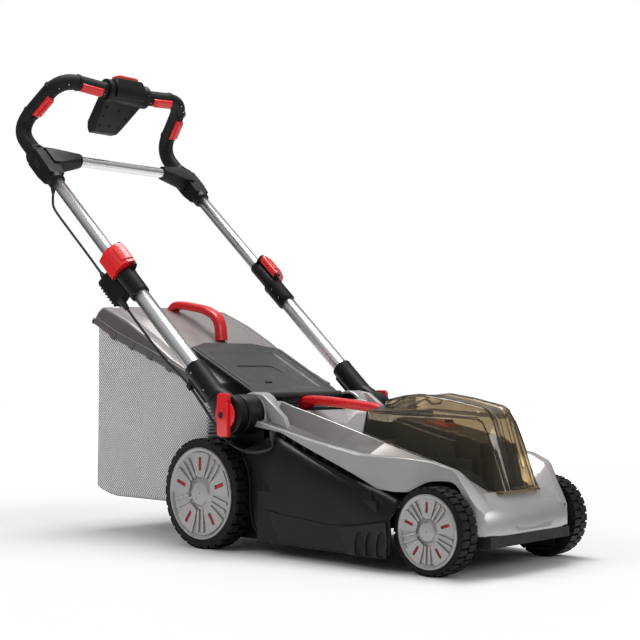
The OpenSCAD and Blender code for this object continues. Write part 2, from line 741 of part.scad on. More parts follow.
// Moulded wheel with tread blocks, drawn on the +X side with its outer face at x_out
module tyred_wheel(x_out, w, r, y, z, cap_r) {
  translate([0, y, z]) difference() {
    union() {
      rod_x(x_out - w, x_out, 0, 0, r - tread_depth);
      for (k = [0 : tread_count - 1])
        rotate([k * 360 / tread_count, 0, 0]) {
          box_span([x_out - w + 1, -r * block_share, -r], [x_out - w / 2 - 1, r * block_share, -r + tread_depth + 3]);
          rotate([180 / tread_count, 0, 0])
            box_span([x_out - w / 2 + 1, -r * block_share, -r * outer_row],
                     [x_out - 1, r * block_share, -r + tread_depth + 3]);
        }
    }
    // hollow inner side with a hub
    difference() {
      rod_x(x_out - w - 1, x_out - 12, 0, 0, r - rim_step);
      rod_x(x_out - w - 2, x_out, 0, 0, axle_d / 2 + 8);
    }
    rod_x(x_out - 5, x_out + 1, 0, 0, cap_r + 0.2);
    rod_x(x_out - w - 3, x_out + 3, 0, 0, axle_d / 2 + run_gap);
  }
}

module wheel_insert(x_out, y, z, cap_r) {
  translate([0, y, z]) difference() {
    rod_x(x_out - 5, x_out - 3, 0, 0, cap_r - 3);
    rod_x(x_out - 6, x_out, 0, 0, axle_d / 2 + 1);
  }
}

module wheel_cap(x_out, y, z, cap_r) {
  translate([0, y, z]) difference() {
    union() {
      rod_x(x_out - 3, x_out + 1.5, 0, 0, cap_r);
      rod_x(x_out, x_out + cap_proud, 0, 0, cap_r * 0.3);
      difference() {
        rod_x(x_out, x_out + cap_proud, 0, 0, cap_r);
        rod_x(x_out - 1, x_out + cap_proud + 1, 0, 0, cap_r - 5);
      }
    }
    for (k = [0 : spokes - 1])
      rotate([k * 360 / spokes, 0, 0])
        box_span([x_out - 4, -2, cap_r * 0.48], [x_out + 4, 2, cap_r * 0.8]);
    rod_x(x_out - 4, x_out - 1.5, 0, 0, axle_d / 2 + 3);
  }
}

rear_cap_r = rear_r - 17;
front_cap_r = front_r - 11;
module rear_wheel() {
  tyred_wheel(rear_out_x, rear_wheel_w, rear_r, 0, rear_r, rear_cap_r);
}
module front_wheel() {
  tyred_wheel(front_out_x, front_wheel_w, front_r, -wheelbase, front_r, front_cap_r);
}
module rear_wheel_left() { color([0.05, 0.05, 0.05]) in_frame() rear_wheel(); }
module rear_wheel_right() { color([0.05, 0.05, 0.05]) in_frame() mirror([1, 0, 0]) rear_wheel(); }
module front_wheel_left() { color([0.05, 0.05, 0.05]) in_frame() front_wheel(); }
module front_wheel_right() { color([0.05, 0.05, 0.05]) in_frame() mirror([1, 0, 0]) front_wheel(); }
module rear_insert() { wheel_insert(rear_out_x, 0, rear_r, rear_cap_r); }
module front_insert() { wheel_insert(front_out_x, -wheelbase, front_r, front_cap_r); }
module rear_insert_left() { color([0.7, 0.08, 0.1]) in_frame() rear_insert(); }
module rear_insert_right() { color([0.7, 0.08, 0.1]) in_frame() mirror([1, 0, 0]) rear_insert(); }
module front_insert_left() { color([0.7, 0.08, 0.1]) in_frame() front_insert(); }
module front_insert_right() { color([0.7, 0.08, 0.1]) in_frame() mirror([1, 0, 0]) front_insert(); }
module rear_cap() { wheel_cap(rear_out_x, 0, rear_r, rear_cap_r); }
module front_cap() { wheel_cap(front_out_x, -wheelbase, front_r, front_cap_r); }
module rear_cap_left() { color([0.6, 0.6, 0.6]) in_frame() rear_cap(); }
module rear_cap_right() { color([0.6, 0.6, 0.6]) in_frame() mirror([1, 0, 0]) rear_cap(); }
module front_cap_left() { color([0.6, 0.6, 0.6]) in_frame() front_cap(); }
module front_cap_right() { color([0.6, 0.6, 0.6]) in_frame() mirror([1, 0, 0]) front_cap(); }

// ---------------------------------------------------------------- blade group

blade_z = 44;
module motor_shaft() {
  color([0.75, 0.75, 0.77]) in_frame() translate([0, blade_y, blade_z + blade_t])
    cylinder(r = shaft_d / 2, h = deck_top + 60 - blade_z - blade_t);
}

module blade_fan() {
  color([0.1, 0.1, 0.1]) in_frame() translate([0, blade_y, blade_z + blade_t]) difference() {
    union() {
      cylinder(r = 52, h = 4);
      cylinder(r = 16, h = 26);
      for (k = [0 : 5])
        rotate([0, 0, k * 60]) box_span([14, -2, 2], [50, 2, 20]);
    }
    translate([0, 0, -1]) cylinder(r = shaft_d / 2, h = 40);
  }
}

module blade() {
  color([0.55, 0.56, 0.58]) in_frame() translate([0, blade_y, blade_z]) difference() {
    union() {
      intersection() {
        box_span([-blade_d / 2, -24, 0], [blade_d / 2, 24, blade_t]);
        cylinder(r = blade_d / 2, h = 20, center = true);
      }
      for (k = [0, 180])
        rotate([0, 0, k]) translate([blade_d / 2 - 66, 14, blade_t - 0.5])
          rotate([28, 0, 0]) box_span([0, 0, -1], [50, 20, blade_t - 1]);
    }
    translate([0, 0, -1]) cylinder(r = 4, h = blade_t + 2);
  }
}

module blade_bolt() {
  color([0.6, 0.6, 0.62]) in_frame() translate([0, blade_y, blade_z]) {
    translate([0, 0, -7]) cylinder(r = 9, h = 7, $fn = 6);
    cylinder(r = 4, h = blade_t);
  }
}

// ---------------------------------------------------------------- lower handle

module handle_sockets() {
  color([0.07, 0.07, 0.07]) in_frame() both_sides() difference() {
    union() {
      hull() {
        rod_x(eye_in_x, eye_out_x, pivot_y, pivot_z, pivot_hub_r);
        on_tube(1, pivot_hub_r + 6) cylinder(r = lower_r + 4, h = 12);
      }
      on_tube(1, pivot_hub_r + 6) cylinder(r = lower_r + 4.5, h = socket_top - pivot_hub_r - 6);
    }
    on_tube(1, tube_foot) cylinder(r = lower_r, h = socket_top);
    // faces that turn against the pivot tower and the wing knob
    rod_x(eye_in_x - 20, eye_in_x, pivot_y, pivot_z, pivot_hub_r + 1);
    rod_x(eye_out_x, eye_out_x + 20, pivot_y, pivot_z, knob_span / 2 + 4);
    rod_x(eye_in_x - 10, eye_out_x + 10, pivot_y, pivot_z, bolt_r + run_gap);
  }
}

module lower_tubes() {
  color([0.85, 0.85, 0.87]) in_frame() both_sides() on_tube(1, tube_foot) difference() {
    cylinder(r = lower_r, h = lower_tube_len);
    translate([0, 0, -1]) cylinder(r = lower_bore_r, h = lower_tube_len + 2);
  }
}

lug_n = lower_r + 13;
module clamp_collars() {
  color([0.07, 0.07, 0.07]) in_frame() both_sides() on_tube(1, 0) difference() {
    union() {
      translate([0, 0, collar_foot]) cylinder(r = collar_r, h = collar_neck - collar_foot);
      translate([0, 0, collar_neck]) cylinder(r = lower_r, h = collar_top - collar_neck);
      for (z0 = [collar_neck - 5, collar_top - 5])
        hull() {
          translate([-4, -lug_n, z0]) cylinder(r = 7, h = 5);
          translate([-10, 0, z0]) cylinder(r = 12, h = 5);
        }
    }
    translate([0, 0, collar_foot - 1]) cylinder(r = lower_r, h = lower_top - collar_foot + 1);
    translate([0, 0, lower_top - 1]) cylinder(r = lower_bore_r, h = collar_top - lower_top + 3);
  }
}

module cable_box() {
  color([0.06, 0.06, 0.06]) in_frame() on_tube(-1, 0) {
    difference() {
      hull() {
        box_span([-15, 12, collar_foot + 26], [6, 22, collar_foot + 98]);
        box_span([-24, 48, collar_foot + 26], [0, 54, collar_foot + 98]);
      }
      cylinder(r = collar_r, h = collar_top);
    }
    translate([tube_x - 215, 36, collar_foot + 98 - 1]) cylinder(r1 = 7, r2 = 5, h = 12.8);
    translate([tube_x - 215, 36, collar_foot + 0.2]) cylinder(r1 = 6, r2 = 8, h = 27);
  }
}

clip_s = 112;
module cable_clip() {
  color([0.05, 0.05, 0.05]) in_frame() on_tube(-1, clip_s)
    translate([3.5, 0, 0]) difference() {
      hull() {
        translate([0, lower_r + 6, 0]) cylinder(r = 7, h = 10);
        translate([0, 38, 0]) cylinder(r = 6, h = 10);
      }
      translate([0, 38, -1]) cylinder(r = cable_d / 2 + 1.2, h = 12);
      translate([-3.5, 0, -1]) cylinder(r = lower_r + 4.5, h = 12);
    }
}

module wing_knob() {
  difference() {
    union() {
      rod_x(eye_out_x + move_gap, eye_out_x + 6, pivot_y, pivot_z, knob_disc_r);
      rod_x(eye_out_x + move_gap, eye_out_x + 13, pivot_y, pivot_z, 9);
      box_span([eye_out_x + 2, pivot_y - 8, pivot_z - knob_span / 2],
               [eye_out_x + 10, pivot_y + 8, pivot_z + knob_span / 2]);
    }
    rod_x(eye_out_x - 1, eye_out_x + 20, pivot_y, pivot_z, bolt_r + run_gap);
  }
}
module wing_knob_left() { color([0.8, 0.1, 0.08]) in_frame() wing_knob(); }
module wing_knob_right() { color([0.8, 0.1, 0.08]) in_frame() mirror([1, 0, 0]) wing_knob(); }

// Over-centre lever that wraps the outer side of its clamp
module clamp_lever() {
  on_tube(1, collar_neck + move_gap) difference() {
    union() {
      hull() {
        translate([-4, -lug_n, 0]) cylinder(r = 6, h = collar_top - collar_neck - 5 - 2 * move_gap);
        translate([16, -lower_r - 4, 0]) cylinder(r = 6, h = collar_top - collar_neck - 5 - 2 * move_gap);
      }
      hull() {
        translate([18, -lower_r - 2, 0]) cylinder(r = 4, h = collar_top - collar_neck - 5 - 2 * move_gap);
        translate([22, 14, 0]) cylinder(r = 4, h = collar_top - collar_neck - 5 - 2 * move_gap);
      }
    }
    translate([0, 0, -1]) cylinder(r = lower_r + move_gap, h = 80);
  }
}
module clamp_lever_left() { color([0.8, 0.1, 0.08]) in_frame() clamp_lever(); }
module clamp_lever_right() { color([0.8, 0.1, 0.08]) in_frame() mirror([1, 0, 0]) clamp_lever(); }

// ---------------------------------------------------------------- upper handle

module upper_tubes() {
  color([0.85, 0.85, 0.87]) in_frame() both_sides() on_tube(1, collar_top - insert_len) difference() {
    cylinder(r = upper_r, h = grip_foot + 60 - collar_top + insert_len);
    translate([0, 0, -1]) cylinder(r = upper_r - 1.5, h = 600);
  }
}

module crossbar() {
  color([0.85, 0.85, 0.87]) in_frame() {
    p = along(crossbar_s, crossbar_lift);
    rod_x(-crossbar_show / 2 - 20, crossbar_show / 2 + 20, p[0], p[1], crossbar_r);
  }
}

// Centre line of the grip loop, from the left bracket over the top bar to the right one
function grip_route() = let (
  a = along(grip_head - 10), b = along(bend_s))
  [[tube_x, a[0], a[1]], [tube_x + 1, b[0], b[1]],
   [corner_x, corner_yz[0], corner_yz[1]], [bar_half + 3, bar_yz[0], bar_yz[1]]];
// Rounded corner at b: a quadratic curve that starts and ends the given run from b
function corner(a, b, c, run, n) = let (p = b + run * unit(a - b), q = b + run * unit(c - b))
  [for (k = [0 : n]) let (t = k / n) (1 - t) * (1 - t) * p + 2 * t * (1 - t) * b + t * t * q];
function grip_path() = let (
  r = grip_route(),
  h = concat([r[0]], corner(r[0], r[1], r[2], 52, 8), corner(r[1], r[2], r[3], 48, 8), [r[3]]))
  concat(h, [for (i = [len(h) - 1 : -1 : 0]) [-h[i][0], h[i][1], h[i][2]]]);

module grip_bracket() {
  p = along(crossbar_s, crossbar_lift);
  difference() {
    union() {
      on_tube(1, grip_foot) cylinder(r = upper_r + 5, h = 20);
      hull() {
        on_tube(1, grip_foot + 14) box_span([-18, -19, 0], [20, 19, 2]);
        on_tube(1, grip_head - 30) box_span([-20, -21, 0], [20, 19, 2]);
        on_tube(1, grip_head) cylinder(r = grip_r, h = 2);
      }
      hull() {
        on_tube(1, crossbar_s - 26) box_span([-24, -26, 0], [0, 8, 54]);
        rod_x(crossbar_show / 2, crossbar_show / 2 + 40, p[0], p[1], crossbar_r + 5);
      }
    }
    on_tube(1, grip_foot - 1) cylinder(r = upper_r, h = 61);
    rod_x(crossbar_show / 2 - 1, crossbar_show / 2 + 20, p[0], p[1], crossbar_r);
  }
}

module grip_loop() {
  color([0.06, 0.06, 0.06]) in_frame() {
    sweep_tube(grip_path(), grip_r, sides = 20, up = [1, 0.1, 0.1]);
    both_sides() grip_bracket();
  }
}

module control_box() {
  color([0.07, 0.07, 0.07]) in_frame() difference() {
    union() {
      rod_x(-bar_half, bar_half, bar_yz[0], bar_yz[1], grip_r + 7);
      hull() {
        rod_x(-40, 40, bar_yz[0], bar_yz[1], grip_r + 10);
        box_span([-36, bar_yz[0] - 18, bar_yz[1] + 20], [36, bar_yz[0] + 22, bar_yz[1] + 30]);
      }
      hull() {
        rod_x(-50, 50, bar_yz[0] + 16, bar_yz[1] - 12, 16);
        box_span([-32, bar_yz[0] + 70, bar_yz[1] - 80], [32, bar_yz[0] + 92, bar_yz[1] - 60]);
      }
    }
    rod_x(-bar_half - 1, bar_half + 1, bar_yz[0], bar_yz[1], grip_r + 0.3);
    box_span([-29, bar_yz[0] - 14, bar_yz[1] + 24], [29, bar_yz[0] + 14, bar_yz[1] + 40]);
  }
}

module start_button() {
  color([0.8, 0.1, 0.08]) in_frame()
    box_span([-29 + move_gap, bar_yz[0] - 14 + move_gap, bar_yz[1] + 28.5],
             [29 - move_gap, bar_yz[0] + 14 - move_gap, bar_yz[1] + 38]);
}

// Squeeze bar: a sector of a tube around one straight of the grip loop, centred on `face`
module paddle(a, b, face, spread) {
  e3 = unit(b - a);
  e1 = unit(face - (face * e3) * e3);
  e2 = cross(e3, e1);
  multmatrix([[e1[0], e2[0], e3[0], a[0]], [e1[1], e2[1], e3[1], a[1]], [e1[2], e2[2], e3[2], a[2]], [0, 0, 0, 1]])
    difference() {
      linear_extrude(height = norm(b - a))
        polygon(concat(
          [for (t = [-spread : 10 : spread]) (grip_r + 1) * [cos(t), sin(t)]],
          [for (t = [spread : -10 : -spread]) (grip_r + 9) * [cos(t), sin(t)]]));
      translate([0, 0, -1]) cylinder(r = grip_r + move_gap, h = norm(b - a) + 2);
    }
}
// The squeeze bars face forwards and down, away from the operator
paddle_face = [0, -0.75, -0.66];
function route_at(i, t) = lerp(grip_route()[i], grip_route()[i + 1], t);
module top_paddle() { paddle(route_at(2, 0.42), route_at(2, 0.92), paddle_face, 30); }
module side_paddle() { paddle(route_at(1, 0.36), route_at(1, 0.72), paddle_face, 30); }
module top_paddle_left() { color([0.8, 0.1, 0.08]) in_frame() top_paddle(); }
module top_paddle_right() { color([0.8, 0.1, 0.08]) in_frame() mirror([1, 0, 0]) top_paddle(); }
module side_paddle_left() { color([0.8, 0.1, 0.08]) in_frame() side_paddle(); }
module side_paddle_right() { color([0.8, 0.1, 0.08]) in_frame() mirror([1, 0, 0]) side_paddle(); }

// ---------------------------------------------------------------- cable

function cable_at(x, s, n) = [x, along(s, n)[0], along(s, n)[1]];
upper_route = [
  cable_at(-206, 704, -18), cable_at(-208, 690, -32), cable_at(-213, 665, -38),
  cable_at(-215, 600, -37), cable_at(-215, 520, -36), cable_at(-215, collar_foot + 110, -36)
];
lower_route = [
  cable_at(-215, collar_foot, -36), cable_at(-215, 290, -36), cable_at(-212, 200, -37),
  cable_at(-200, 150, -38), cable_at(-197, 112, -38), cable_at(-197, 60, -40),
  cable_at(-197, 20, -44), [-197, -58, 196], [-200, -100, 182], [-200, -137, 179],
  [-188, -154, 184], [-182.2, -158, 190], [-182.2, -158, 200]
];
module cable_upper() { color([0.04, 0.04, 0.04]) in_frame() sweep_tube(smooth(upper_route, 6), cable_d / 2, 8, [1, 0.1, 0.1]); }
module cable_lower() { color([0.04, 0.04, 0.04]) in_frame() sweep_tube(smooth(lower_route, 5), cable_d / 2, 8, [1, 0.1, 0.1]); }

// ---------------------------------------------------------------- catcher

module catcher_bag() {
  color([0.72, 0.72, 0.72]) in_frame() difference() {
    plate_x(-bag_half, bag_half)
      polygon([[mouth_y, bag_floor], [bag_back - 40, bag_floor], [bag_back - 10, bag_floor + 8],
               [bag_back, bag_floor + 26], [bag_back, rim_z(bag_back)], [mouth_y, rim_z(mouth_y)]]);
    plate_x(-bag_half + bag_wall, bag_half - bag_wall)
      polygon([[mouth_y + bag_wall, bag_floor + bag_wall], [bag_back - 42, bag_floor + bag_wall],
               [bag_back - 12, bag_floor + 11], [bag_back - bag_wall, bag_floor + 28],
               [bag_back - bag_wall, rim_z(bag_back) + 1], [mouth_y + bag_wall, rim_z(mouth_y) + 1]]);
    box_span([-98, mouth_y - 1, 100], [98, mouth_y + bag_wall + 1, 246]);
  }
}

// Closed outer form of the lid: a sloping rim with a slightly raised crown
module lid_form() {
  crown_y = bag_back - 65;
  hull() {
    for (y = [mouth_y + 2, bag_back + 4])
      box_span([-lid_half, y - 4, rim_z(y)], [lid_half, y, rim_z(y) + rim_h - 8]);
    box_span([-lid_half + 8, mouth_y + 4, rim_z(mouth_y) + rim_h - 2],
             [lid_half - 8, mouth_y + 8, rim_z(mouth_y) + rim_h]);
    box_span([-lid_half + 40, crown_y - 4, rim_z(crown_y)], [lid_half - 40, crown_y + 4, rim_z(crown_y) + rim_h + 9]);
  }
}

module catcher_lid() {
  color([0.66, 0.65, 0.64]) in_frame() difference() {
    lid_form();
    // hollow underside
    hull() {
      for (y = [mouth_y + 5, bag_back])
        box_span([-lid_half + wall, y - 4, rim_z(y) - 8], [lid_half - wall, y, rim_z(y) + rim_h - 13]);
    }
    hull() {
      box_span([-lid_half + 9, mouth_y + 5, rim_z(mouth_y) - 12], [lid_half - 9, mouth_y + 8, rim_z(mouth_y) + rim_h - 8]);
      box_span([-lid_half + 40, bag_back - 68, 330], [lid_half - 40, bag_back - 64, rim_z(bag_back - 65) + rim_h + 5]);
      box_span([-lid_half + 9, bag_back - 8, 330], [lid_half - 9, bag_back - 2, rim_z(bag_back) + rim_h - 16]);
    }
    // seat of the rear flap
    hull() {
      box_span([-seat_x - 4, mouth_y - 20, rim_z(mouth_y) + 14], [seat_x + 4, mouth_y, 400]);
      box_span([-seat_x - 4, 150, 384], [seat_x + 4, 164, 460]);
    }
  }
}

module catcher_handle() {
  color([0.8, 0.1, 0.08]) in_frame() difference() {
    plate_x(-13, 13)
      polygon([[168, 380], [186, 380], [196, 424], [232, 442], [300, 452], [322, 446], [324, 410],
               [342, 410], [340, 452], [326, 462], [300, 468], [236, 460], [184, 436]]);
    lid_form();
    plate_x(-20, 20) polygon([[150, 330], [200, 330], [200, rim_z(200) + rim_h], [150, rim_z(150) + rim_h]]);
  }
}

module fill_flap() {
  color([0.8, 0.1, 0.08]) in_frame() difference() {
    box_span([-70, bag_back - 60, 410], [-40, bag_back - 40, rim_z(bag_back - 50) + rim_h + 9]);
    lid_form();
  }
}

flap_pin_yz = [pivot_y + 12, 277];
module rear_flap() {
  color([0.13, 0.13, 0.13]) in_frame() {
    hull() {
      rod_x(-104, 104, flap_pin_yz[0], flap_pin_yz[1], 7);
      box_span([-seat_x, 126, 372], [seat_x, 130, 376]);
      box_span([-66, 150, 386], [66, 154, 389]);
    }
  }
}

deck();
hood();
grass_combs();
motor_can();
motor_controller();
carry_handle();
battery_tray();
battery_pack();
battery_release();
battery_cover();
body_screws();
pivot_bolts();
height_gate();
cable_grommet();
rear_crank();
front_crank();
height_lever();
height_knob();
tie_rod();
rear_wheel_left();
rear_insert_left();
rear_cap_left();
rear_wheel_right();
rear_insert_right();
rear_cap_right();
front_wheel_left();
front_insert_left();
front_cap_left();
front_wheel_right();
front_insert_right();
front_cap_right();
motor_shaft();
blade_fan();
blade();
blade_bolt();
handle_sockets();
lower_tubes();
clamp_collars();
cable_box();
cable_clip();
wing_knob_left();
wing_knob_right();
clamp_lever_left();
clamp_lever_right();
upper_tubes();
crossbar();
grip_loop();
control_box();
start_button();
top_paddle_left();
top_paddle_right();
side_paddle_left();
side_paddle_right();
cable_upper();
cable_lower();
catcher_bag();
catcher_lid();
catcher_handle();
fill_flap();
rear_flap();
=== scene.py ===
"""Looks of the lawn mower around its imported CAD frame. All sizes here are in millimetres, with the
rear axle at y = 0, the front towards -Y and the near side at -X; mm() turns them into the frame."""

from math import copysign, cos, dist, pi, radians, sin

import bmesh
import bpy
import numpy as np
from mathutils import Matrix, Vector


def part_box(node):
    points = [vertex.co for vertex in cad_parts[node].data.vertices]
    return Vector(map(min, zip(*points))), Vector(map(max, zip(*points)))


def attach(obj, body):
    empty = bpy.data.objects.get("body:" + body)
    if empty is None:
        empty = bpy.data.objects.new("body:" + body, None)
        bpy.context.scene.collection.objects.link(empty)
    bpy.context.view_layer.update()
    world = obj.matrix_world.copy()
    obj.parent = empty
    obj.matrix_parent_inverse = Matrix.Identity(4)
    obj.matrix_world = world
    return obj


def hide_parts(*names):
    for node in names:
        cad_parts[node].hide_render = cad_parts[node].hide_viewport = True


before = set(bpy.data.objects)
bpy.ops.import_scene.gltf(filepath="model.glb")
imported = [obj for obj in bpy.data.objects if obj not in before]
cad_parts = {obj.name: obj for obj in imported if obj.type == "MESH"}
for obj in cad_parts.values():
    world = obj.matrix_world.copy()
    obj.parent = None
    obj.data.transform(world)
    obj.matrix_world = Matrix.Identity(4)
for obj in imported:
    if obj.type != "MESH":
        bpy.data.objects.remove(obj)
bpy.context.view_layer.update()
axle_low, axle_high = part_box("rear_insert_left")
SHIFT = 500 * (axle_low[1] + axle_high[1])

# Handle geometry, as in the CAD source
HANDLE_ANGLE = radians(41.5)
PIVOT_Y, PIVOT_Z = -68, 244
TUBE_X = 200.5
CROSSBAR_S = 783

# Other sizes that several pieces share
WHEELBASE = 499
REAR_R, REAR_CAP_R, REAR_FACE_X = 100, 83, 210
FRONT_R, FRONT_CAP_R, FRONT_FACE_X = 70, 59, 177
HINGE_Y, HINGE_Z = -291.4, 258
CONTROL_Y, CONTROL_Z = 497, 938
BAG_HALF, BAG_FRONT, BAG_BACK, BAG_MIDDLE = 165, 30, 376, 203
FLAP_FOOT_Y, FLAP_FOOT_Z, FLAP_RUN, FLAP_RISE = -54, 284.6, 208, 104.4
SMALLEST = 1e-6
BEVELLED_FROM = radians(28)


def mm(x, y, z):
    return Vector((x, y + SHIFT, z)) * 0.001


def along(s, n=0):
    """Point at distance s up the handle tube and n forwards and up from it, as (y, z)."""
    c, q = cos(HANDLE_ANGLE), sin(HANDLE_ANGLE)
    return PIVOT_Y + s * c - n * q, PIVOT_Z + s * q + n * c


def on_tube(side, across, n, s):
    """Point in the frame of a handle tube; across is positive towards the outside."""
    y, z = along(s, n)
    return (side * (TUBE_X + across), y, z)


# ---- materials


def shader(name):
    material = bpy.data.materials.new(name)
    material.use_nodes = True
    nodes = material.node_tree.nodes
    return material, nodes, material.node_tree.links, nodes["Principled BSDF"]


def noise(nodes, links, scale, detail=4, stretch=(1, 1, 1)):
    """Noise in object coordinates, stretched along the axes."""
    coordinates = nodes.new("ShaderNodeTexCoord")
    mapping = nodes.new("ShaderNodeMapping")
    mapping.inputs["Scale"].default_value = stretch
    texture = nodes.new("ShaderNodeTexNoise")
    texture.inputs["Scale"].default_value = scale
    texture.inputs["Detail"].default_value = detail
    links.new(coordinates.outputs["Object"], mapping.inputs["Vector"])
    links.new(mapping.outputs["Vector"], texture.inputs["Vector"])
    return texture.outputs["Fac"]


def ramp(nodes, links, source, low, high, positions=(0.3, 0.7)):
    """Colour ramp between two greys or colours."""
    blend = nodes.new("ShaderNodeValToRGB")
    for stop, value, place in zip(blend.color_ramp.elements, (low, high), positions):
        stop.color = (*value, 1) if isinstance(value, tuple) else (value, value, value, 1)
        stop.position = place
    links.new(source, blend.inputs["Fac"])
    return blend.outputs["Color"]


def bump(nodes, links, target, height, strength, distance):
    relief = nodes.new("ShaderNodeBump")
    relief.inputs["Strength"].default_value = strength
    relief.inputs["Distance"].default_value = distance
    links.new(height, relief.inputs["Height"])
    links.new(relief.outputs["Normal"], target.inputs["Normal"])


def plastic(name, color, roughness, grain=900, relief=0.15, spread=0.12, metallic=0.0, coat=0.0, shine=0.5):
    """Moulded plastic: slight colour change over the part, spark-eroded grain and varied gloss."""
    material, nodes, links, surface = shader(name)
    surface.inputs["Metallic"].default_value = metallic
    surface.inputs["Coat Weight"].default_value = coat
    surface.inputs["Specular IOR Level"].default_value = shine
    surface.inputs["Coat Roughness"].default_value = 0.15
    darker = tuple(c * (1 - spread) for c in color)
    lighter = tuple(min(1, c * (1 + spread)) for c in color)
    links.new(ramp(nodes, links, noise(nodes, links, 14), darker, lighter), surface.inputs["Base Color"])
    links.new(ramp(nodes, links, noise(nodes, links, 60), roughness * 0.85, roughness * 1.15),
              surface.inputs["Roughness"])
    bump(nodes, links, surface, noise(nodes, links, grain, 6), relief, 0.0002)
    return material


def brushed(name, color, roughness, stretch):
    """Drawn or ground metal, a little uneven along one direction."""
    material, nodes, links, surface = shader(name)
    surface.inputs["Metallic"].default_value = 1.0
    lines = noise(nodes, links, 90, 2, stretch)
    links.new(ramp(nodes, links, lines, tuple(c * 0.97 for c in color), color),
              surface.inputs["Base Color"])
    links.new(ramp(nodes, links, lines, roughness * 0.9, roughness * 1.1), surface.inputs["Roughness"])
    return material


def clear_smoke(name, color, roughness):
    """Tinted clear moulding, with faint flow marks."""
    material, nodes, links, surface = shader(name)
    surface.inputs["Base Color"].default_value = (*color, 1)
    surface.inputs["IOR"].default_value = 1.45
    surface.inputs["Transmission Weight"].default_value = 1.0
    links.new(ramp(nodes, links, noise(nodes, links, 30), roughness * 0.7, roughness * 1.3),
              surface.inputs["Roughness"])
    return material


def woven(name, light, dark, pitch):
    """Coarse mesh fabric: two crossed sets of yarns with open gaps between them."""
    material, nodes, links, surface = shader(name)
    surface.inputs["Roughness"].default_value = 0.8
    surface.inputs["Sheen Weight"].default_value = 0.2
    coordinates = nodes.new("ShaderNodeTexCoord")
    heights = []
    for turn in (45, -45):
        mapping = nodes.new("ShaderNodeMapping")
        mapping.inputs["Rotation"].default_value = (radians(turn), 0, radians(45))
        wave = nodes.new("ShaderNodeTexWave")
        wave.bands_direction = "Z"
        wave.inputs["Scale"].default_value = 1000 / pitch * 0.3
        wave.inputs["Distortion"].default_value = 0.6
        wave.inputs["Detail"].default_value = 1
        links.new(coordinates.outputs["Object"], mapping.inputs["Vector"])
        links.new(mapping.outputs["Vector"], wave.inputs["Vector"])
        heights.append(wave.outputs["Fac"])
    joined = nodes.new("ShaderNodeMath")
    joined.operation = "MULTIPLY"
    links.new(heights[0], joined.inputs[0])
    links.new(heights[1], joined.inputs[1])
    links.new(ramp(nodes, links, joined.outputs[0], dark, light, (0.05, 0.45)),
              surface.inputs["Base Color"])
    bump(nodes, links, surface, joined.outputs[0], 0.7, 0.0008)
    return material


SILVER = plastic("silver_shell", (0.47, 0.452, 0.445), 0.33, 1400, 0.05, 0.03, 0.45, 0.2)
# Darker silver for the hood recess: painted shade on the recess wall and floor
SILVER_RECESS_SHADE = plastic("silver_shell_recess", (0.105, 0.096, 0.092), 0.55, 1200, 0.1, 0.04, shine=0.3)
LID_SILVER = plastic("lid_silver", (0.31, 0.288, 0.282), 0.35, 1200, 0.06, 0.03, 0.3, 0.15)
LID_RIM = plastic("lid_rim", (0.10, 0.088, 0.085), 0.45, 1200, 0.1, 0.05)
BLACK = plastic("black_shell", (0.005, 0.005, 0.005), 0.42, 1100, 0.2, 0.15, shine=0.26)
BLACK_SOFT = plastic("black_satin", (0.012, 0.012, 0.012), 0.5, 900, 0.25, 0.15, shine=0.26)
GRIP = plastic("grip_soft", (0.009, 0.009, 0.01), 0.62, 1600, 0.35, 0.2, shine=0.26)
FLAP = plastic("flap_black", (0.028, 0.028, 0.03), 0.45, 800, 0.3, 0.1)
RED = plastic("red_plastic", (0.72, 0.010, 0.013), 0.3, 1500, 0.05, 0.06, 0.0, 0.3)
# Darker red for the wheel inserts, also used as painted shade in the grooves and hollow of the wing knobs
RED_INSERT_AND_GROOVE_SHADE = plastic("red_insert", (0.36, 0.006, 0.014), 0.45, 900, 0.1, 0.1)
HUBCAP = plastic("hubcap", (0.36, 0.35, 0.34), 0.3, 1400, 0.05, 0.04, 0.45, 0.2)
TYRE = plastic("wheel_black", (0.006, 0.006, 0.006), 0.6, 700, 0.3, 0.25, shine=0.26)
BATTERY = plastic("battery_black", (0.012, 0.012, 0.013), 0.4, 1000, 0.2, 0.1)
ORANGE = plastic("release_orange", (0.42, 0.09, 0.03), 0.35, 1200, 0.1, 0.1)
CABLE = plastic("cable_rubber", (0.014, 0.014, 0.014), 0.5, 800, 0.2, 0.1)
# Near-black painted shade for the insides of pits, holes, slots, grooves and gaps
PIT_SHADE = plastic("screw_pit", (0.004, 0.004, 0.004), 0.7, 900, 0.2, 0.1)
ALLOY = brushed("tube_alloy", (0.78, 0.78, 0.79), 0.24, (6, 0.15, 0.15))
ZINC = brushed("zinc_steel", (0.55, 0.55, 0.57), 0.3, (1, 1, 4))
CAN = brushed("can_steel", (0.3, 0.31, 0.33), 0.45, (1, 1, 8))
BLADE = brushed("blade_steel", (0.38, 0.39, 0.41), 0.35, (1, 8, 1))
SMOKE = clear_smoke("smoke_cover", (0.82, 0.70, 0.50), 0.015)
SMOKE_EDGE = clear_smoke("smoke_edge", (0.16, 0.11, 0.06), 0.05)
MESH_CLOTH = woven("bag_fabric", (0.84, 0.84, 0.84), (0.22, 0.22, 0.22), 4.4)

# ---- mesh helpers


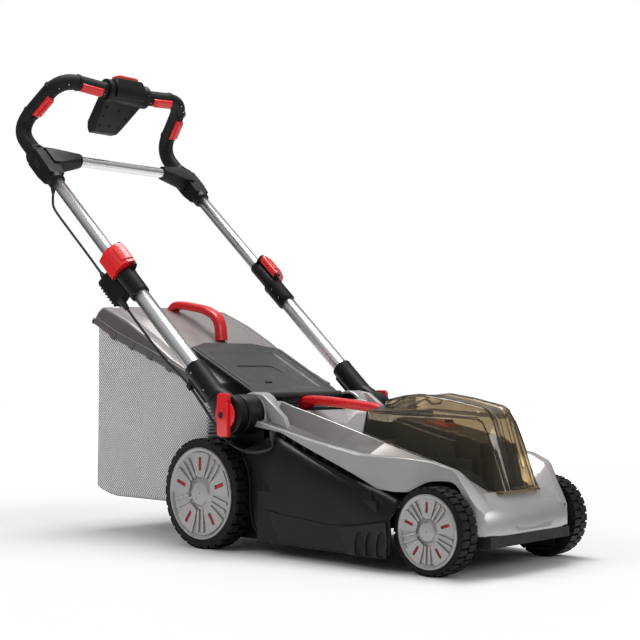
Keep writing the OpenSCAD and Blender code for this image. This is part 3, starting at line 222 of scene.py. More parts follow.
def new_piece(name, part, material, body="chassis", hides=(), slot=None, bevel=0, segments=2, sharp=32,
              thickness=0):
    """Mesh object from a (verts, faces) part in millimetres, or a list of them, riding on a body."""
    verts, faces = merged(*part) if isinstance(part, list) else part
    mesh = bpy.data.meshes.new(name)
    mesh.from_pydata([mm(*v) for v in verts], [], faces)
    build = bmesh.new()
    build.from_mesh(mesh)
    bmesh.ops.remove_doubles(build, verts=build.verts, dist=SMALLEST)
    bmesh.ops.dissolve_degenerate(build, edges=build.edges, dist=SMALLEST)
    bmesh.ops.recalc_face_normals(build, faces=build.faces)
    build.to_mesh(mesh)
    build.free()
    mesh.shade_smooth()
    mesh.set_sharp_from_angle(angle=radians(sharp))
    mesh.materials.append(material)
    piece = bpy.data.objects.new(name, mesh)
    bpy.context.scene.collection.objects.link(piece)
    if thickness:
        shell = piece.modifiers.new("shell", "SOLIDIFY")
        shell.thickness = thickness * 0.001
        shell.offset = -1
        shell.use_even_offset = True
    if bevel:
        edge = piece.modifiers.new("edges", "BEVEL")
        edge.width = bevel * 0.001
        edge.segments = segments
        edge.limit_method = "ANGLE"
        edge.angle_limit = BEVELLED_FROM
        edge.harden_normals = True
    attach(piece, body)
    if hides:
        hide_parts(*hides)
    return piece


def grid(rows, closed=False, caps=False):
    """Quads between rows of equally many points."""
    n = len(rows[0])
    verts = [p for row in rows for p in row]
    faces = []
    for i in range(len(rows) - 1):
        for j in range(n if closed else n - 1):
            k = (j + 1) % n
            faces.append((i * n + j, i * n + k, (i + 1) * n + k, (i + 1) * n + j))
    if caps:
        faces.append(tuple(range(n))[::-1])
        faces.append(tuple((len(rows) - 1) * n + j for j in range(n)))
    return verts, faces


def merged(*parts):
    """Several (verts, faces) sets as one."""
    verts, faces = [], []
    for part_verts, part_faces in parts:
        base = len(verts)
        verts += part_verts
        faces += [tuple(base + i for i in face) for face in part_faces]
    return verts, faces


def flipped(part):
    """Mirror image across the plane x = 0."""
    return [(-x, y, z) for x, y, z in part[0]], [face[::-1] for face in part[1]]


def prism(outline, lift, depth):
    """Closed prism: lift(point, t) places each outline point at t = 0 and t = depth."""
    return grid([[lift(p, 0) for p in outline], [lift(p, depth) for p in outline]], True, True)


def prism_x(outline, x0, x1):
    return prism(outline, lambda p, t: (x0 + t, p[0], p[1]), x1 - x0)


def hull(points):
    """Convex hull of the points."""
    build = bmesh.new()
    for p in points:
        build.verts.new(p)
    result = bmesh.ops.convex_hull(build, input=build.verts)
    spare = [v for v in result["geom_interior"] + result["geom_unused"] if isinstance(v,
            bmesh.types.BMVert)]
    bmesh.ops.delete(build, geom=list(set(spare)), context="VERTS")
    bmesh.ops.dissolve_limit(build, angle_limit=radians(2), verts=build.verts, edges=build.edges)
    build.verts.ensure_lookup_table()
    build.verts.index_update()
    verts = [tuple(v.co) for v in build.verts]
    faces = [tuple(v.index for v in f.verts) for f in build.faces]
    build.free()
    return verts, faces


def rod(base, axis, length, radius, end_radius=None, segments=24):
    """Closed round rod or cone from a base point along an axis."""
    end = radius if end_radius is None else end_radius
    return spun([(0, 0.1), (0, radius), (length, end), (length, 0.1)], base, axis, segments)


def circle(count, start=0.0):
    """Even angles round a full turn."""
    return [start + 2 * pi * k / count for k in range(count)]


def box_points(low, high):
    return [(x, y, z) for x in (low[0], high[0]) for y in (low[1], high[1]) for z in (low[2], high[2])]


def box(low, high):
    return hull(box_points(low, high))


def tapered(low, high, far_low, far_high):
    """Hull of two boxes."""
    return hull(box_points(low, high) + box_points(far_low, far_high))


def frames(path):
    """Directions across a path, carried along it without twist."""
    points = [Vector(p) for p in path]
    tangents = []
    for i in range(len(points)):
        step = points[min(i + 1, len(points) - 1)] - points[max(i - 1, 0)]
        tangents.append(step.normalized())
    u = tangents[0].orthogonal().normalized()
    result = []
    for point, t in zip(points, tangents):
        u = (u - t * u.dot(t)).normalized()
        result.append((point, t, u, t.cross(u)))
    return result


def tube(path, radius, sides=24, caps=True):
    """Round tube along a path; radius is a number or one number for each point."""
    radii = [radius] * len(path) if isinstance(radius, (int, float)) else radius
    rows = []
    for (point, _, u, v), r in zip(frames(path), radii):
        rows.append([tuple(point + u * (r * cos(a)) + v * (r * sin(a))) for a in circle(sides)])
    return grid(rows, True, caps)


def spun_x(profile, y, z, segments=64):
    """Surface of revolution about an axis along X; profile is a closed list of (x, r)."""
    rows = []
    for a in circle(segments):
        rows.append([(x, y + r * cos(a), z + r * sin(a)) for x, r in profile])
    rows.append(rows[0])
    return grid(rows, True)


def spun(profile, base, axis, segments=32):
    """Closed surface of revolution: profile of (height along the axis, radius) from a base point."""
    direction = Vector(axis).normalized()
    u = direction.orthogonal().normalized()
    v = direction.cross(u)
    rows = []
    for h, r in profile:
        rows.append([tuple(Vector(base) + direction * h + u * (r * cos(a)) + v * (r * sin(a)))
                     for a in circle(segments)])
    return grid(rows, True, True)


def curve_through(points, count):
    """Catmull-Rom curve through the points, with count steps between each pair."""
    p = [np.array(q, float) for q in points]
    p = [2 * p[0] - p[1]] + p + [2 * p[-1] - p[-2]]
    out = []
    for i in range(1, len(p) - 2):
        for k in range(count):
            t = k / count
            out.append(tuple(0.5 * (2 * p[i] + (p[i + 1] - p[i - 1]) * t + (2 * p[i - 1] - 5 * p[i]
                    + 4 * p[i + 1] - p[i + 2]) * t * t + (3 * p[i] - p[i - 1] - 3 * p[i + 1]
                    + p[i + 2]) * t ** 3)))
    out.append(tuple(p[-2]))
    return out


def rail(table, y):
    """Linear value of a rail at y; the table lists (y, value, value, ...)."""
    rows = sorted(table)
    ys = [row[0] for row in rows]
    return [float(np.interp(y, ys, [row[k] for row in rows])) for k in range(1, len(rows[0]))]


def rounded(section, radius, steps=3):
    """Section with each inner corner replaced by a short curve."""
    out = [section[0]]
    for a, b, c in zip(section, section[1:], section[2:]):
        a, b, c = np.array(a, float), np.array(b, float), np.array(c, float)
        back = min(radius, 0.45 * np.linalg.norm(a - b))
        fore = min(radius, 0.45 * np.linalg.norm(c - b))
        start = b + (a - b) / max(np.linalg.norm(a - b), SMALLEST) * back
        end = b + (c - b) / max(np.linalg.norm(c - b), SMALLEST) * fore
        for k in range(steps + 1):
            t = k / steps
            out.append(tuple((1 - t) ** 2 * start + 2 * t * (1 - t) * b + t * t * end))
    out.append(section[-1])
    return out


def repaint(piece, material, test):
    """Gives another material to the faces whose centre, in millimetres, passes the test."""
    piece.data.materials.append(material)
    index = len(piece.data.materials) - 1
    for face in piece.data.polygons:
        x, y, z = face.center * 1000
        if test(x, y - SHIFT, z):
            face.material_index = index


def screws(name, spots, direction, radius, body, head=ZINC):
    """Recessed screw heads: a near-black ring that paints the shade of the pit, with a small head in it."""
    parts = [spun([(0, 0.01), (0, radius), (0.4, radius), (0.4, 0.01)], s, direction, 20) for s in spots]
    new_piece(name + "_pits", parts, PIT_SHADE, body)
    heads = [spun([(0.2, 0.01), (0.2, radius * 0.6), (0.8, radius * 0.5), (0.8, 0.01)], s, direction, 16)
             for s in spots]
    new_piece(name, heads, head, body)


def both(part):
    """The part, or the list of parts, with its mirror image."""
    part = merged(*part) if isinstance(part, list) else part
    return merged(part, flipped(part))


def bar(path, half_width, half_height, corner=0.6, ease=()):
    """Bar of rounded rectangular section along a path in the plane x = 0."""
    rows = []
    for i, (point, t, _, _) in enumerate(frames(path)):
        side = Vector((1, 0, 0))
        top = side.cross(t)
        share = ease[i] if ease else 1
        row = []
        for a in circle(20, pi / 20):
            c, s = cos(a), sin(a)
            u = copysign(abs(c) ** corner, c) * half_width * share
            v = copysign(abs(s) ** corner, s) * half_height * share
            row.append(tuple(point + side * u + top * v))
        rows.append(row)
    return grid(rows, True, True)


# ---- hood

RIDGE = [(-88, 112, 268), (-110, 112, 268), (-140, 111, 259), (-180, 110.5, 249), (-240, 109, 233),
         (-300, 103, 215), (-360, 96, 196), (-440, 84, 172), (-521, 66, 134), (-545, 58, 121),
         (-566, 53, 109)]
WALL_FOOT = [(-88, 122, 250), (-110, 126, 246), (-140, 133, 231), (-180, 137, 219), (-240, 139, 203),
             (-300, 141, 190), (-345, 143, 181), (-400, 128, 178), (-440, 118, 172), (-521, 100, 150),
             (-545, 88, 124), (-566, 78, 105)]
LEDGE_IN = [(-88, 158, 236), (-110, 160, 229), (-240, 160, 203), (-345, 158, 186), (-400, 160, 184),
            (-440, 146, 183), (-480, 134, 178), (-521, 120, 163), (-541, 112, 138), (-566, 100, 103)]
LEDGE_OUT = [(-88, 164, 238), (-110, 168, 232), (-240, 171, 203), (-345, 172, 184), (-400, 170, 183),
             (-440, 162, 182), (-480, 150, 178), (-521, 136, 166), (-541, 130, 132), (-555, 127, 110),
             (-566, 118, 98)]
SKIRT = [(-88, 168, 224), (-164, 170, 215), (-240, 174, 188), (-345, 176, 151), (-393, 176, 131),
         (-425, 174, 128), (-453, 170, 129), (-480, 152, 146), (-505, 143, 148), (-521, 137, 146),
         (-533, 133, 130), (-541, 131, 100), (-555, 127, 66), (-566, 118, 64)]
VALLEY = [(-88, 84, 248), (-135, 64, 226), (-240, 62, 214), (-322, 60, 200), (-327, 60, 116),
          (-547, 44, 116), (-566, 42, 101)]


def hood_row(y):
    valley, ridge = rail(VALLEY, y), rail(RIDGE, y)
    outer = [rail(table, y) for table in (WALL_FOOT, LEDGE_IN, LEDGE_OUT, SKIRT)]
    crest = [ridge[0] - 10, ridge[1] - 5]
    half = rounded([valley, crest, ridge, *outer], 2.2)
    points = [(x, y, z) for x, z in half]
    return [(-x, y, z) for x, y, z in points[::-1]] + points


stations = sorted(set(range(-566, -87, 7)) | {-88, -322, -327, -345, -393})
hood = new_piece("hood_shell", grid([hood_row(y) for y in stations]), SILVER, "chassis", ["hood"],
                 "silver_shell", thickness=2.6, bevel=0.9, sharp=40)


def in_recess(x, y, z):
    """Sloping wall and floor of the long recess beside the ridge, the faces that get the painted shade."""
    crest, edge = rail(RIDGE, y), rail(LEDGE_IN, y)
    return -344 < y < -112 and crest[0] + 2 < abs(x) < edge[0] - 1 and z > 150


# Painted shade: the recess wall and floor get the darker silver
repaint(hood, SILVER_RECESS_SHADE, in_recess)

nose_points = []
for side in (-1, 1):
    nose_points += [(side * x, y, z) for x, y, z in ((130, -541, 62), (127, -553, 62), (117, -568, 62),
            (75, -579, 62), (75, -579.5, 84), (117, -568, 84), (130, -541, 128), (127, -553, 106),
            (108, -563, 101), (56, -546, 119), (52, -566, 108), (72, -570, 104))]
new_piece("nose_shell", hull(nose_points), SILVER, slot="silver_shell", bevel=2.5, segments=3)
# Raised shield on the front face
new_piece("nose_shield", both(prism([(0, 0), (46, 0), (56, 8), (50, 30), (0, 30)], lambda p,
                                    t: (p[0], -580.3 + t + 0.24 * p[1] * (p[1] > 8), 66 + p[1]), 3)),
          SILVER, bevel=1)

# Bulkhead that rises behind the battery cover
bulkhead = box_points((-106, -296, 202), (106, -238, 214)) + box_points((-86, -295, 238), (86, -270, 251))
new_piece("bulkhead", hull(bulkhead), SILVER, slot="silver_shell", bevel=4, segments=3)

lugs = [rod((side * x, HINGE_Y, HINGE_Z), (side, 0, 0), 6.4, 5) for side in (-1, 1) for x in (17, 40.6)]
lugs += [box((min(side * x, side * (x + 6.4)), -295, 248), (max(side * x, side * (x + 6.4)), -286.6, 258))
         for side in (-1, 1) for x in (17, 40.6)]
new_piece("cover_hinge_lugs", lugs, SILVER, bevel=0.6)


def ear(side):
    """Silver shell round the front and top of a pivot tower."""
    section = [(112, 34), (112, 38.5), (114, 39.6), (142, 39.6), (147, 38.4), (149.5, 35.8), (149.5, 34)]
    rows = []
    for a in np.linspace(radians(58), radians(222), 42):
        rows.append([(side * x, PIVOT_Y + r * cos(a), PIVOT_Z + r * sin(a)) for x, r in section])
    return grid(rows, True, True)


new_piece("pivot_ears", [ear(-1), ear(1)], SILVER, bevel=0.8, sharp=40)

apron = [(-66, 284), (-98, 279), (-122, 263), (-152, 240), (-166, 212), (-141, 203), (-127, 216),
         (-112, 246), (-100, 266), (-84, 277)]
new_piece("ear_aprons", both(prism_x(apron, 138, 149)), SILVER, bevel=3, segments=3)

# Black barrel of each handle pivot, with a stepped rim
barrel = [(118, 20), (118, 36.2), (182, 36.2), (185, 35.2), (186.5, 32.5), (186.5, 20)]
barrels = spun_x(barrel, PIVOT_Y, PIVOT_Z)
new_piece("pivot_barrels", both(barrels), BLACK, slot="black_shell", sharp=50)

# ---- deck sides

SIDE_RAILS = [[(-148, 186, 24), (-200, 191, 24), (-400, 191, 24), (-431, 189, 30)], [(-117, 186, 47),
        (-190, 191.5, 48), (-400, 191.5, 50), (-433, 189, 56)], [(-106, 186, 84), (-179, 191.5, 76),
        (-299, 192, 66), (-367, 192, 72), (-433, 190, 84)], [(-105, 185, 110), (-180, 191, 122), (-240, 192,
        112), (-299, 192, 99), (-367, 192, 95), (-438, 188, 93)], [(-101, 184, 135), (-175, 189, 166),
        (-250, 191, 143), (-310, 191, 128), (-370, 190, 116), (-441, 184, 101)], [(-93, 183, 155),
        (-173, 184, 193), (-207, 186, 180), (-258, 187, 162), (-311, 187, 145), (-362, 187, 132),
        (-405, 186, 122), (-441, 180, 107)], [(-80, 180, 170), (-165, 175, 204), (-207, 176, 189),
        (-258, 177, 170), (-311, 177, 152), (-362, 178, 139), (-405, 179, 128), (-441, 172, 113)],
              [(-69, 174, 178), (-150, 165, 211), (-207, 162, 190), (-258, 162, 171), (-311, 162, 152),
               (-362, 162, 139), (-405, 164, 130), (-441, 158, 117)],]


def side_columns(table, count=48):
    """Points at even steps along a rail."""
    steps = np.linspace(table[0][0], table[-1][0], count)
    return [(rail(table, y)[0], y, rail(table, y)[1]) for y in steps]


columns = [side_columns(table) for table in SIDE_RAILS]
rows = [curve_through([column[i] for column in columns], 5) for i in range(len(columns[0]))]
softened = [rows[0]]
for before, row, after in zip(rows, rows[1:], rows[2:]):
    softened.append([tuple((np.array(a) + 2 * np.array(b) + np.array(c)) / 4) for a, b, c in zip(before,
            row, after)])
softened.append(rows[-1])
new_piece("deck_side_skins", both(grid(softened)), BLACK, slot="black_shell", thickness=2, sharp=45)
# Raised seam line, and the flange along the rear edge
seam = [(x + 0.6, y, z) for x, y, z in side_columns(SIDE_RAILS[2], 40)[3:]]
new_piece("deck_seams", both(tube(seam, 0.9, 8)), BLACK)
flange = curve_through([(table[0][1] + 0.5, table[0][0], table[0][2]) for table in SIDE_RAILS], 6)
new_piece("deck_flanges", both(tube(flange, 2.2, 10)), BLACK)

# Vent teeth between the skirt and the shoulder, over near-black sheets that paint the shade inside the vent
teeth, vent_shade_sheets = [], []
for y in range(-352, -166, 25):
    z = rail(SKIRT, y + 8)[1]
    teeth.append(box((160, y, z - 19), (170, y + 9, z + 1)))
for y in range(-396, -150, 20):
    z0, z1 = rail(SKIRT, y)[1], rail(SKIRT, y + 20)[1]
    vent_shade_sheets.append(hull([(x, py, z + h) for x in (158, 160) for py, z in ((y, z0), (y + 20, z1))
                         for h in (-26, 2)]))
new_piece("vent_teeth", both(teeth), BLACK, bevel=1)
new_piece("vent_backing", both(vent_shade_sheets), PIT_SHADE)


def cut_shape(outline, holes, depth):
    """Plate with holes as (verts, faces), in the coordinates (u, v, w) of its outline, centred on w = 0."""
    curve = bpy.data.curves.new("outline", "CURVE")
    curve.dimensions = "2D"
    curve.fill_mode = "BOTH"
    curve.extrude = depth / 2
    for loop in (outline, *holes):
        spline = curve.splines.new("POLY")
        spline.points.add(len(loop) - 1)
        for point, (u, v) in zip(spline.points, loop):
            point.co = (u, v, 0, 1)
        spline.use_cyclic_u = True
    source = bpy.data.objects.new("outline", curve)
    mesh = source.to_mesh()
    verts = [tuple(v.co) for v in mesh.vertices]
    faces = [tuple(f.vertices) for f in mesh.polygons]
    source.to_mesh_clear()
    bpy.data.objects.remove(source)
    return verts, faces


def cut_plate(name, outline, holes, place, depth, material, body, bevel=0.6, **more):
    """Plate with holes; place(u, v, w) gives each point in millimetres."""
    verts, faces = cut_shape(outline, holes, depth)
    return new_piece(name, ([place(*v) for v in verts], faces), material, body, bevel=bevel, **more)


def round_loop(points, radius=3):
    """Closed outline with its corners rounded."""
    ring = rounded([points[-1], *points, points[0]], radius)
    return [tuple(p) for p in ring[1:-1]]


slots = []
for k in range(3):
    y = -424 + 23 * k
    slots.append(round_loop([(y, 23.5), (y + 15, 23.5), (y + 16, 44), (y + 11, 61 - k), (y + 2, 65 - k),
                             (y - 3, 54)], 4))
comb = round_loop([(-431, 56), (-427, 81), (-400, 76), (-360, 69), (-316, 64), (-338, 38), (-346, 22),
                   (-428, 22)], 3)
for side in (-1, 1):
    hides = ["grass_combs"] if side > 0 else []
    cut_plate(f"comb_{side + 1}", comb, slots, lambda u, v, w: (side * (193 + w), u, v), 4.5, BLACK_SOFT,
              "chassis", 1, hides=hides, slot="black_shell")
    # Near-black box behind the comb's slots: painted shade seen through them
    new_piece(f"comb_pit_{side + 1}", box((min(side * 191, side * 192.6), -427, 24),
                                          (max(side * 191, side * 192.6), -358, 63)), PIT_SHADE)

# ---- battery bay


def cover_half(y):
    """Half section of the cover: crown, rounded rib, shoulder and lower edge."""
    top = rail([(-296, 44, 262), (-310, 46, 271), (-345, 45, 278), (-378, 42, 281), (-440, 37, 273),
                (-500, 31, 261), (-510, 30, 255), (-518, 30, 244), (-533, 31, 196), (-557, 33, 129)], y)
    shoulder = rail([(-296, 92, 253), (-345, 82, 250), (-378, 74.5, 248), (-440, 61, 246), (-500, 50, 243),
                     (-510, 48, 236), (-533, 47, 188), (-557, 45, 128)], y)
    ridge = rail(RIDGE, y)
    low = (max(ridge[0] - 5, 43) + (y < -540) * 2, max(ridge[1] - 1, 125))
    rib = (top[0] + 4, top[1] - 4)
    return rounded([(0, top[1] - 1), (top[0] - 14, top[1] - 1), (top[0] - 10, top[1] + 2), (top[0], top[1]
            + 1.5), rib, shoulder, low], 3.5, 3)


def cover_row(y):
    half = [(x, y, z) for x, z in cover_half(y)]
    return [(-x, y, z) for x, y, z in half[:0:-1]] + half


cover_stations = [-297, -303, -310, -320, -332, -345, -360, -378, -400, -420, -440, -460, -480, -495, -500,
                  -505, -510, -514, -518, -525, -533, -541, -549, -557]
cover_grid = grid([cover_row(y) for y in cover_stations])
n = len(cover_row(-300))
cover_grid[1].append(tuple(range(n)))
cover_grid[1].append(tuple((len(cover_stations) - 1) * n + j for j in range(n))[::-1])
new_piece("cover_shell", cover_grid, SMOKE, "battery_cover", ["battery_cover"], "smoke_cover",
          thickness=2.2, bevel=0.8, sharp=38)


def cover_line(pick, start, end, lift=0.0, count=24):
    """Line along the cover through one point of each section."""
    out = []
    for y in np.linspace(start, end, count):
        x, z = cover_half(y)[pick]
        out.append((x, y, z + lift))
    return out


ribs = [tube(cover_line(-1, -300, -555), 1.6, 8), tube(cover_line(-5, -300, -555), 1.3, 8),
        tube(cover_line(10, -310, -552), 1.2, 8)]
for x in (8, 17, 26):
    ribs.append(tube([(x, -512.5 + 0.2 * k, 252 - 2 * k) for k in range(2)] + [(x * (1 + 0.01 * k),
            -517.6 - 3.9 * k, 243 - 12 * k) for k in range(8)], 0.9, 8))
ribs.append(tube([(0.5, -555.5, 132), (33, -555.5, 132)], 1.4, 8))
new_piece("cover_ribs", both(ribs), SMOKE_EDGE, "battery_cover", sharp=60)
# Hinge knuckles and the finger recess beside them
knuckles = [rod((side * 24, HINGE_Y, HINGE_Z), (side, 0, 0), 16, 5) for side in (-1, 1)]
knuckles += [box((min(side * 24, side * 40), -302, 257), (max(side * 24, side * 40), -296, 264))
             for side in (-1, 1)]
new_piece("cover_knuckles", knuckles, SMOKE_EDGE, "battery_cover", bevel=1)
loop = [(-66, -318, 263.5), (-50, -314, 271), (-30, -316, 273.5), (-34, -340, 279), (-54, -344, 274),
        (-68, -336, 265)]
new_piece("cover_finger_recess", both(tube(curve_through(loop + loop[:1], 5), 1.5, 8)), SMOKE_EDGE,
          "battery_cover")

liner = []
for y in range(-548, -299, 8):
    x, z = rail(RIDGE, y)
    liner.append([(x - 7, y, z - 1), (x - 12, y, z - 7), (min(58, x - 14), y, 119), (0, y, 118.5)])
new_piece("bay_liner", both(grid(liner)), BATTERY, thickness=-1)
new_piece("bay_back", hull(box_points((-62, -306, 118), (62, -302, 130)) + box_points((-97, -308, 205),
        (97, -304, 216)) + box_points((-86, -302, 244), (86, -299, 252))), BATTERY, bevel=1)

# Battery: body with side panels, a latch block and a slotted face
pack_side = [(-503, 120), (-334, 120), (-334, 209), (-308, 211), (-308, 240), (-315, 245), (-488, 211),
             (-503, 203)]
new_piece("battery_case", prism_x(pack_side, -43, 43), BATTERY, "chassis", ["battery_pack"],
          "battery_black", bevel=3, segments=3)
flank = [(-458, 124), (-338, 124), (-338, 205), (-312, 216), (-314, 236), (-320, 238), (-456, 206)]
new_piece("battery_flanks", both(prism_x(flank, 42, 51)), BATTERY, bevel=2.5, segments=3)
# Grooves drawn as near-black strips: painted shade
grooves = [box((50.4, -420 + 18 * k, 140), (51.6, -412 + 18 * k, 186)) for k in range(4)]
new_piece("battery_grooves", both(grooves), PIT_SHADE)
collar = [(-420, 219), (-418, 228), (-372, 238), (-368, 234), (-366, 226)]
new_piece("battery_latch_frame", both(prism_x(collar, 16.4, 21)), ORANGE, bevel=1)
new_piece("release_cap", tapered((-15, -410, 222), (15, -379, 231), (-12, -404, 233), (12, -385, 238)),
          ORANGE, "battery_release", ["battery_release"], "release_orange", bevel=1.5)
# Slots of the release cap drawn as near-black slats: painted shade
slats = [box((-11, -408 + 7 * k, 232), (11, -405 + 7 * k, 238.6)) for k in range(4)]
new_piece("release_slats", slats, PIT_SHADE, "battery_release", bevel=0.5)

# ---- handles, knobs and levers

carry = [(0, -57, 258), (0, -62, 263), (0, -76, 266.5), (0, -110, 266), (0, -160, 262.5), (0, -222, 257),
         (0, -254, 252), (0, -264, 247)]
new_piece("carry_grip", bar(curve_through(carry, 6), 13, 9, 0.55, ease=[0.8] * 3 + [1] * 40), RED,
          "chassis", ["carry_handle"], "red_plastic", sharp=50)
new_piece("carry_feet", [tapered((-11, -62, 246), (11, -52, 252), (-11, -80, 258), (11, -56, 262)),
                         tapered((-12, -268, 240), (12, -252, 243), (-12, -262, 249), (12, -236, 253))],
          RED, bevel=2)

arch = [(0, 176, 384), (0, 180, 414), (0, 190, 431), (0, 210, 442), (0, 236, 450), (0, 300, 460),
        (0, 322, 456), (0, 332, 442), (0, 333, 414)]
new_piece("catcher_grip", bar(curve_through(arch, 6), 13, 8.5, 0.55), RED, "catcher", ["catcher_handle"],
          "red_plastic", sharp=50)


def wing_knob(side, body):
    """Disc with a tall wing across it; its grooves at both ends and its hollow at the middle are painted
    shade in darker red and near-black.
    """
    base = (side * 210, PIVOT_Y, PIVOT_Z)
    disc = spun([(0, 6.2), (0, 24), (1, 25), (4, 25), (5.6, 23), (5.6, 12), (8, 10.5), (13, 10), (13, 6.2)],
                base, (side, 0, 0), 48)
    wing = hull([(side * x, PIVOT_Y + y, PIVOT_Z + z) for z, w, x0, x1 in ((-39, 11, 212, 218),
            (-34, 14, 211.5, 220), (0, 12, 212, 221.5), (34, 14, 211.5, 220), (39, 11, 212, 218))
                 for y in (-w, w) for x in (x0, x1)])
    new_piece(f"{body}_grip", [disc, wing], RED, body, [body], "red_plastic", bevel=1.4, segments=3)
    # Painted shade: thin darker red strips for the grooves, a darker red ring and a near-black disc for the
    # hollow
    marks = [box((min(side * 219.6, side * 220.2), PIVOT_Y - 5, PIVOT_Z + s * (22 + 3 * k)),
                 (max(side * 219.6, side * 220.2), PIVOT_Y + 5, PIVOT_Z + s * (22 + 3 * k) + 1.2))
             for s in (-1, 1) for k in range(3)]
    hole = spun([(11, 0.1), (11, 7), (13.6, 7), (13.6, 0.1)], base, (side, 0, 0), 24)
    new_piece(f"{body}_marks", [*marks, hole], RED_INSERT_AND_GROOVE_SHADE, body)
    new_piece(f"{body}_hole", spun([(13, 0.1), (13, 5.6), (13.8, 5.6), (13.8, 0.1)], base, (side, 0, 0),
                                   24), PIT_SHADE, body)


wing_knob(1, "wing_knob_left")
wing_knob(-1, "wing_knob_right")

# Sockets: pivot eye, neck and sleeve, with slots and screws on the underside
up_tube = Vector((0, cos(HANDLE_ANGLE), sin(HANDLE_ANGLE)))
across_tube = Vector((0, -sin(HANDLE_ANGLE), cos(HANDLE_ANGLE)))
sockets, pits, spots = [], [], []
for side in (-1, 1):
    eye = [(188, 8), (188, 33), (190, 35.6), (206, 35.6), (208.6, 33), (208.6, 8)]
    sockets.append(spun_x([(side * x, r) for x, r in eye], PIVOT_Y, PIVOT_Z))
    neck = [(side * x, PIVOT_Y + 31 * cos(a), PIVOT_Z + 31 * sin(a)) for x in (189, 207)
            for a in np.linspace(HANDLE_ANGLE - 1.5, HANDLE_ANGLE + 1.5, 9)]
    neck += [on_tube(side, 19 * cos(a), 19 * sin(a), 56) for a in np.linspace(0, 2 * pi, 20)]
    sockets.append(hull(neck))
    sleeve = [(44, 15.6), (44, 18), (47, 20), (120, 20), (124, 20.6), (128, 20.6), (129, 19.5), (129, 15.7)]
    sockets.append(spun(sleeve, (side * TUBE_X, *along(0)), up_tube, 40))
    rib = [on_tube(side, x, n, s) for x in (-9, 9) for n, s in ((-16, 52), (-24, 58), (-24, 118),
            (-16, 124))]
    sockets.append(hull(rib))
    for s in (62, 76, 90, 104):
        for x in (-6, 1.5):
            pits.append(hull([on_tube(side, x + a, n, s + b) for a in (0, 4.5) for b in (0, 9)
                              for n in (-24.4, -22)]))
    spots += [on_tube(side, 20.1, 0, 112), on_tube(side, 20.1, 0, 66)]
new_piece("socket_bodies", sockets, BLACK, "lower_handle", ["handle_sockets"], "black_shell", bevel=1.2)
# Slots drawn as near-black pads: painted shade
new_piece("socket_slots", pits, PIT_SHADE, "lower_handle")
for side in (-1, 1):
    screws(f"socket_screws_{side + 1}", [p for p in spots if p[0] * side > 0], (side, 0, 0), 3.2,
           "lower_handle")

alloy = {"lower_tubes": (48, 380, 15.5, 13, "lower_handle"), "upper_tubes": (326, 771, 12.7, 11.2,
        "upper_handle")}
for name, (s0, s1, r, bore, body) in alloy.items():
    wall = [(s0, bore), (s0, r), (s1 - 0.5, r), (s1, r - 0.5), (s1, bore)]
    parts = []
    for side in (-1, 1):
        count = 56
        verts, faces = spun(wall, (side * TUBE_X, *along(0)), up_tube, count)
        del faces[-2:]
        last = (len(wall) - 1) * count
        faces += [(last + k, last + (k + 1) % count, (k + 1) % count, k) for k in range(count)]
        parts.append((verts, faces))
    new_piece(name + "_drawn", parts, ALLOY, body, [name], "tube_alloy", sharp=50)
cross_y, cross_z = along(CROSSBAR_S, 16)
new_piece("crossbar_drawn", rod((-134, cross_y, cross_z), (1, 0, 0), 268, 11, segments=48), ALLOY,
          "upper_handle", ["crossbar"], "tube_alloy")

# Clamp collars with screws, and the red levers that close them
collars, spots = [], []
for side in (-1, 1):
    sleeve = [(340, 15.6), (340, 18.2), (343, 19.6), (392, 19.6), (394, 20.4), (401, 20.4), (403, 18),
              (403, 15.9), (465, 15.9), (467, 15), (467, 12.9)]
    collars.append(spun(sleeve, (side * TUBE_X, *along(0)), up_tube, 40))
    for s in (397, 461):
        collars.append(hull([on_tube(side, x + 6 * cos(a), n + 6 * sin(a), s + h) for x, n in ((-4, 27),
                (-8, 4)) for a in np.linspace(0, 2 * pi, 12) for h in (0, 5)]))
    spots += [on_tube(side, -19.5, 3, 352), on_tube(side, -19.5, 3, 380)]
new_piece("collar_sleeves", collars, BLACK, "lower_handle", ["clamp_collars"], "black_shell", bevel=0.8)
for side in (-1, 1):
    screws(f"collar_screws_{side + 1}", [p for p in spots if p[0] * side > 0], (-side, 0, 0), 3,
           "lower_handle")


def clamp_lever(side, body):
    """Over-centre lever: a thick hook round the outer side, with a raised thumb pad."""
    outline = [(-9, 19), (-10, 31), (-4, 35), (10, 32), (22, 22), (26.2, 8), (26.2, -14), (22.4, -17),
               (18.5, -14), (18.6, 0), (16.2, 6), (11, 14), (4, 17.6)]
    outline = round_loop(outline, 3)
    pad = round_loop([(-6, 30), (-5, 37), (8, 35), (20, 27), (16, 22)], 2)

    def lift(s0):
        return lambda p, t: on_tube(side, p[0], p[1], s0 + t)

    new_piece(f"{body}_grip", [prism(outline, lift(403.5), 56.5), prism(pad, lift(412), 38)], RED, body,
              [body], "red_plastic", bevel=1.6, segments=3)


clamp_lever(1, "clamp_lever_left")
clamp_lever(-1, "clamp_lever_right")

# Cable box on the right clamp, with ribs and two strain reliefs
shell = [on_tube(-1, x, n, s) for x, n in ((-6, -16), (15, -14), (24, -46), (22, -53), (2, -53), (-2, -48))
         for s in (366, 438)]
new_piece("cable_box_shell", hull(shell), BLACK, "lower_handle", ["cable_box"], "black_shell", bevel=3,
          segments=3)
fins = [hull([on_tube(-1, x, n, s + h) for x, n in ((0, -52), (22, -52), (22, -54.4), (0, -54.4))
              for h in (0, 3)]) for s in range(376, 430, 9)]
new_piece("cable_box_fins", fins, BLACK, "lower_handle", bevel=0.6)

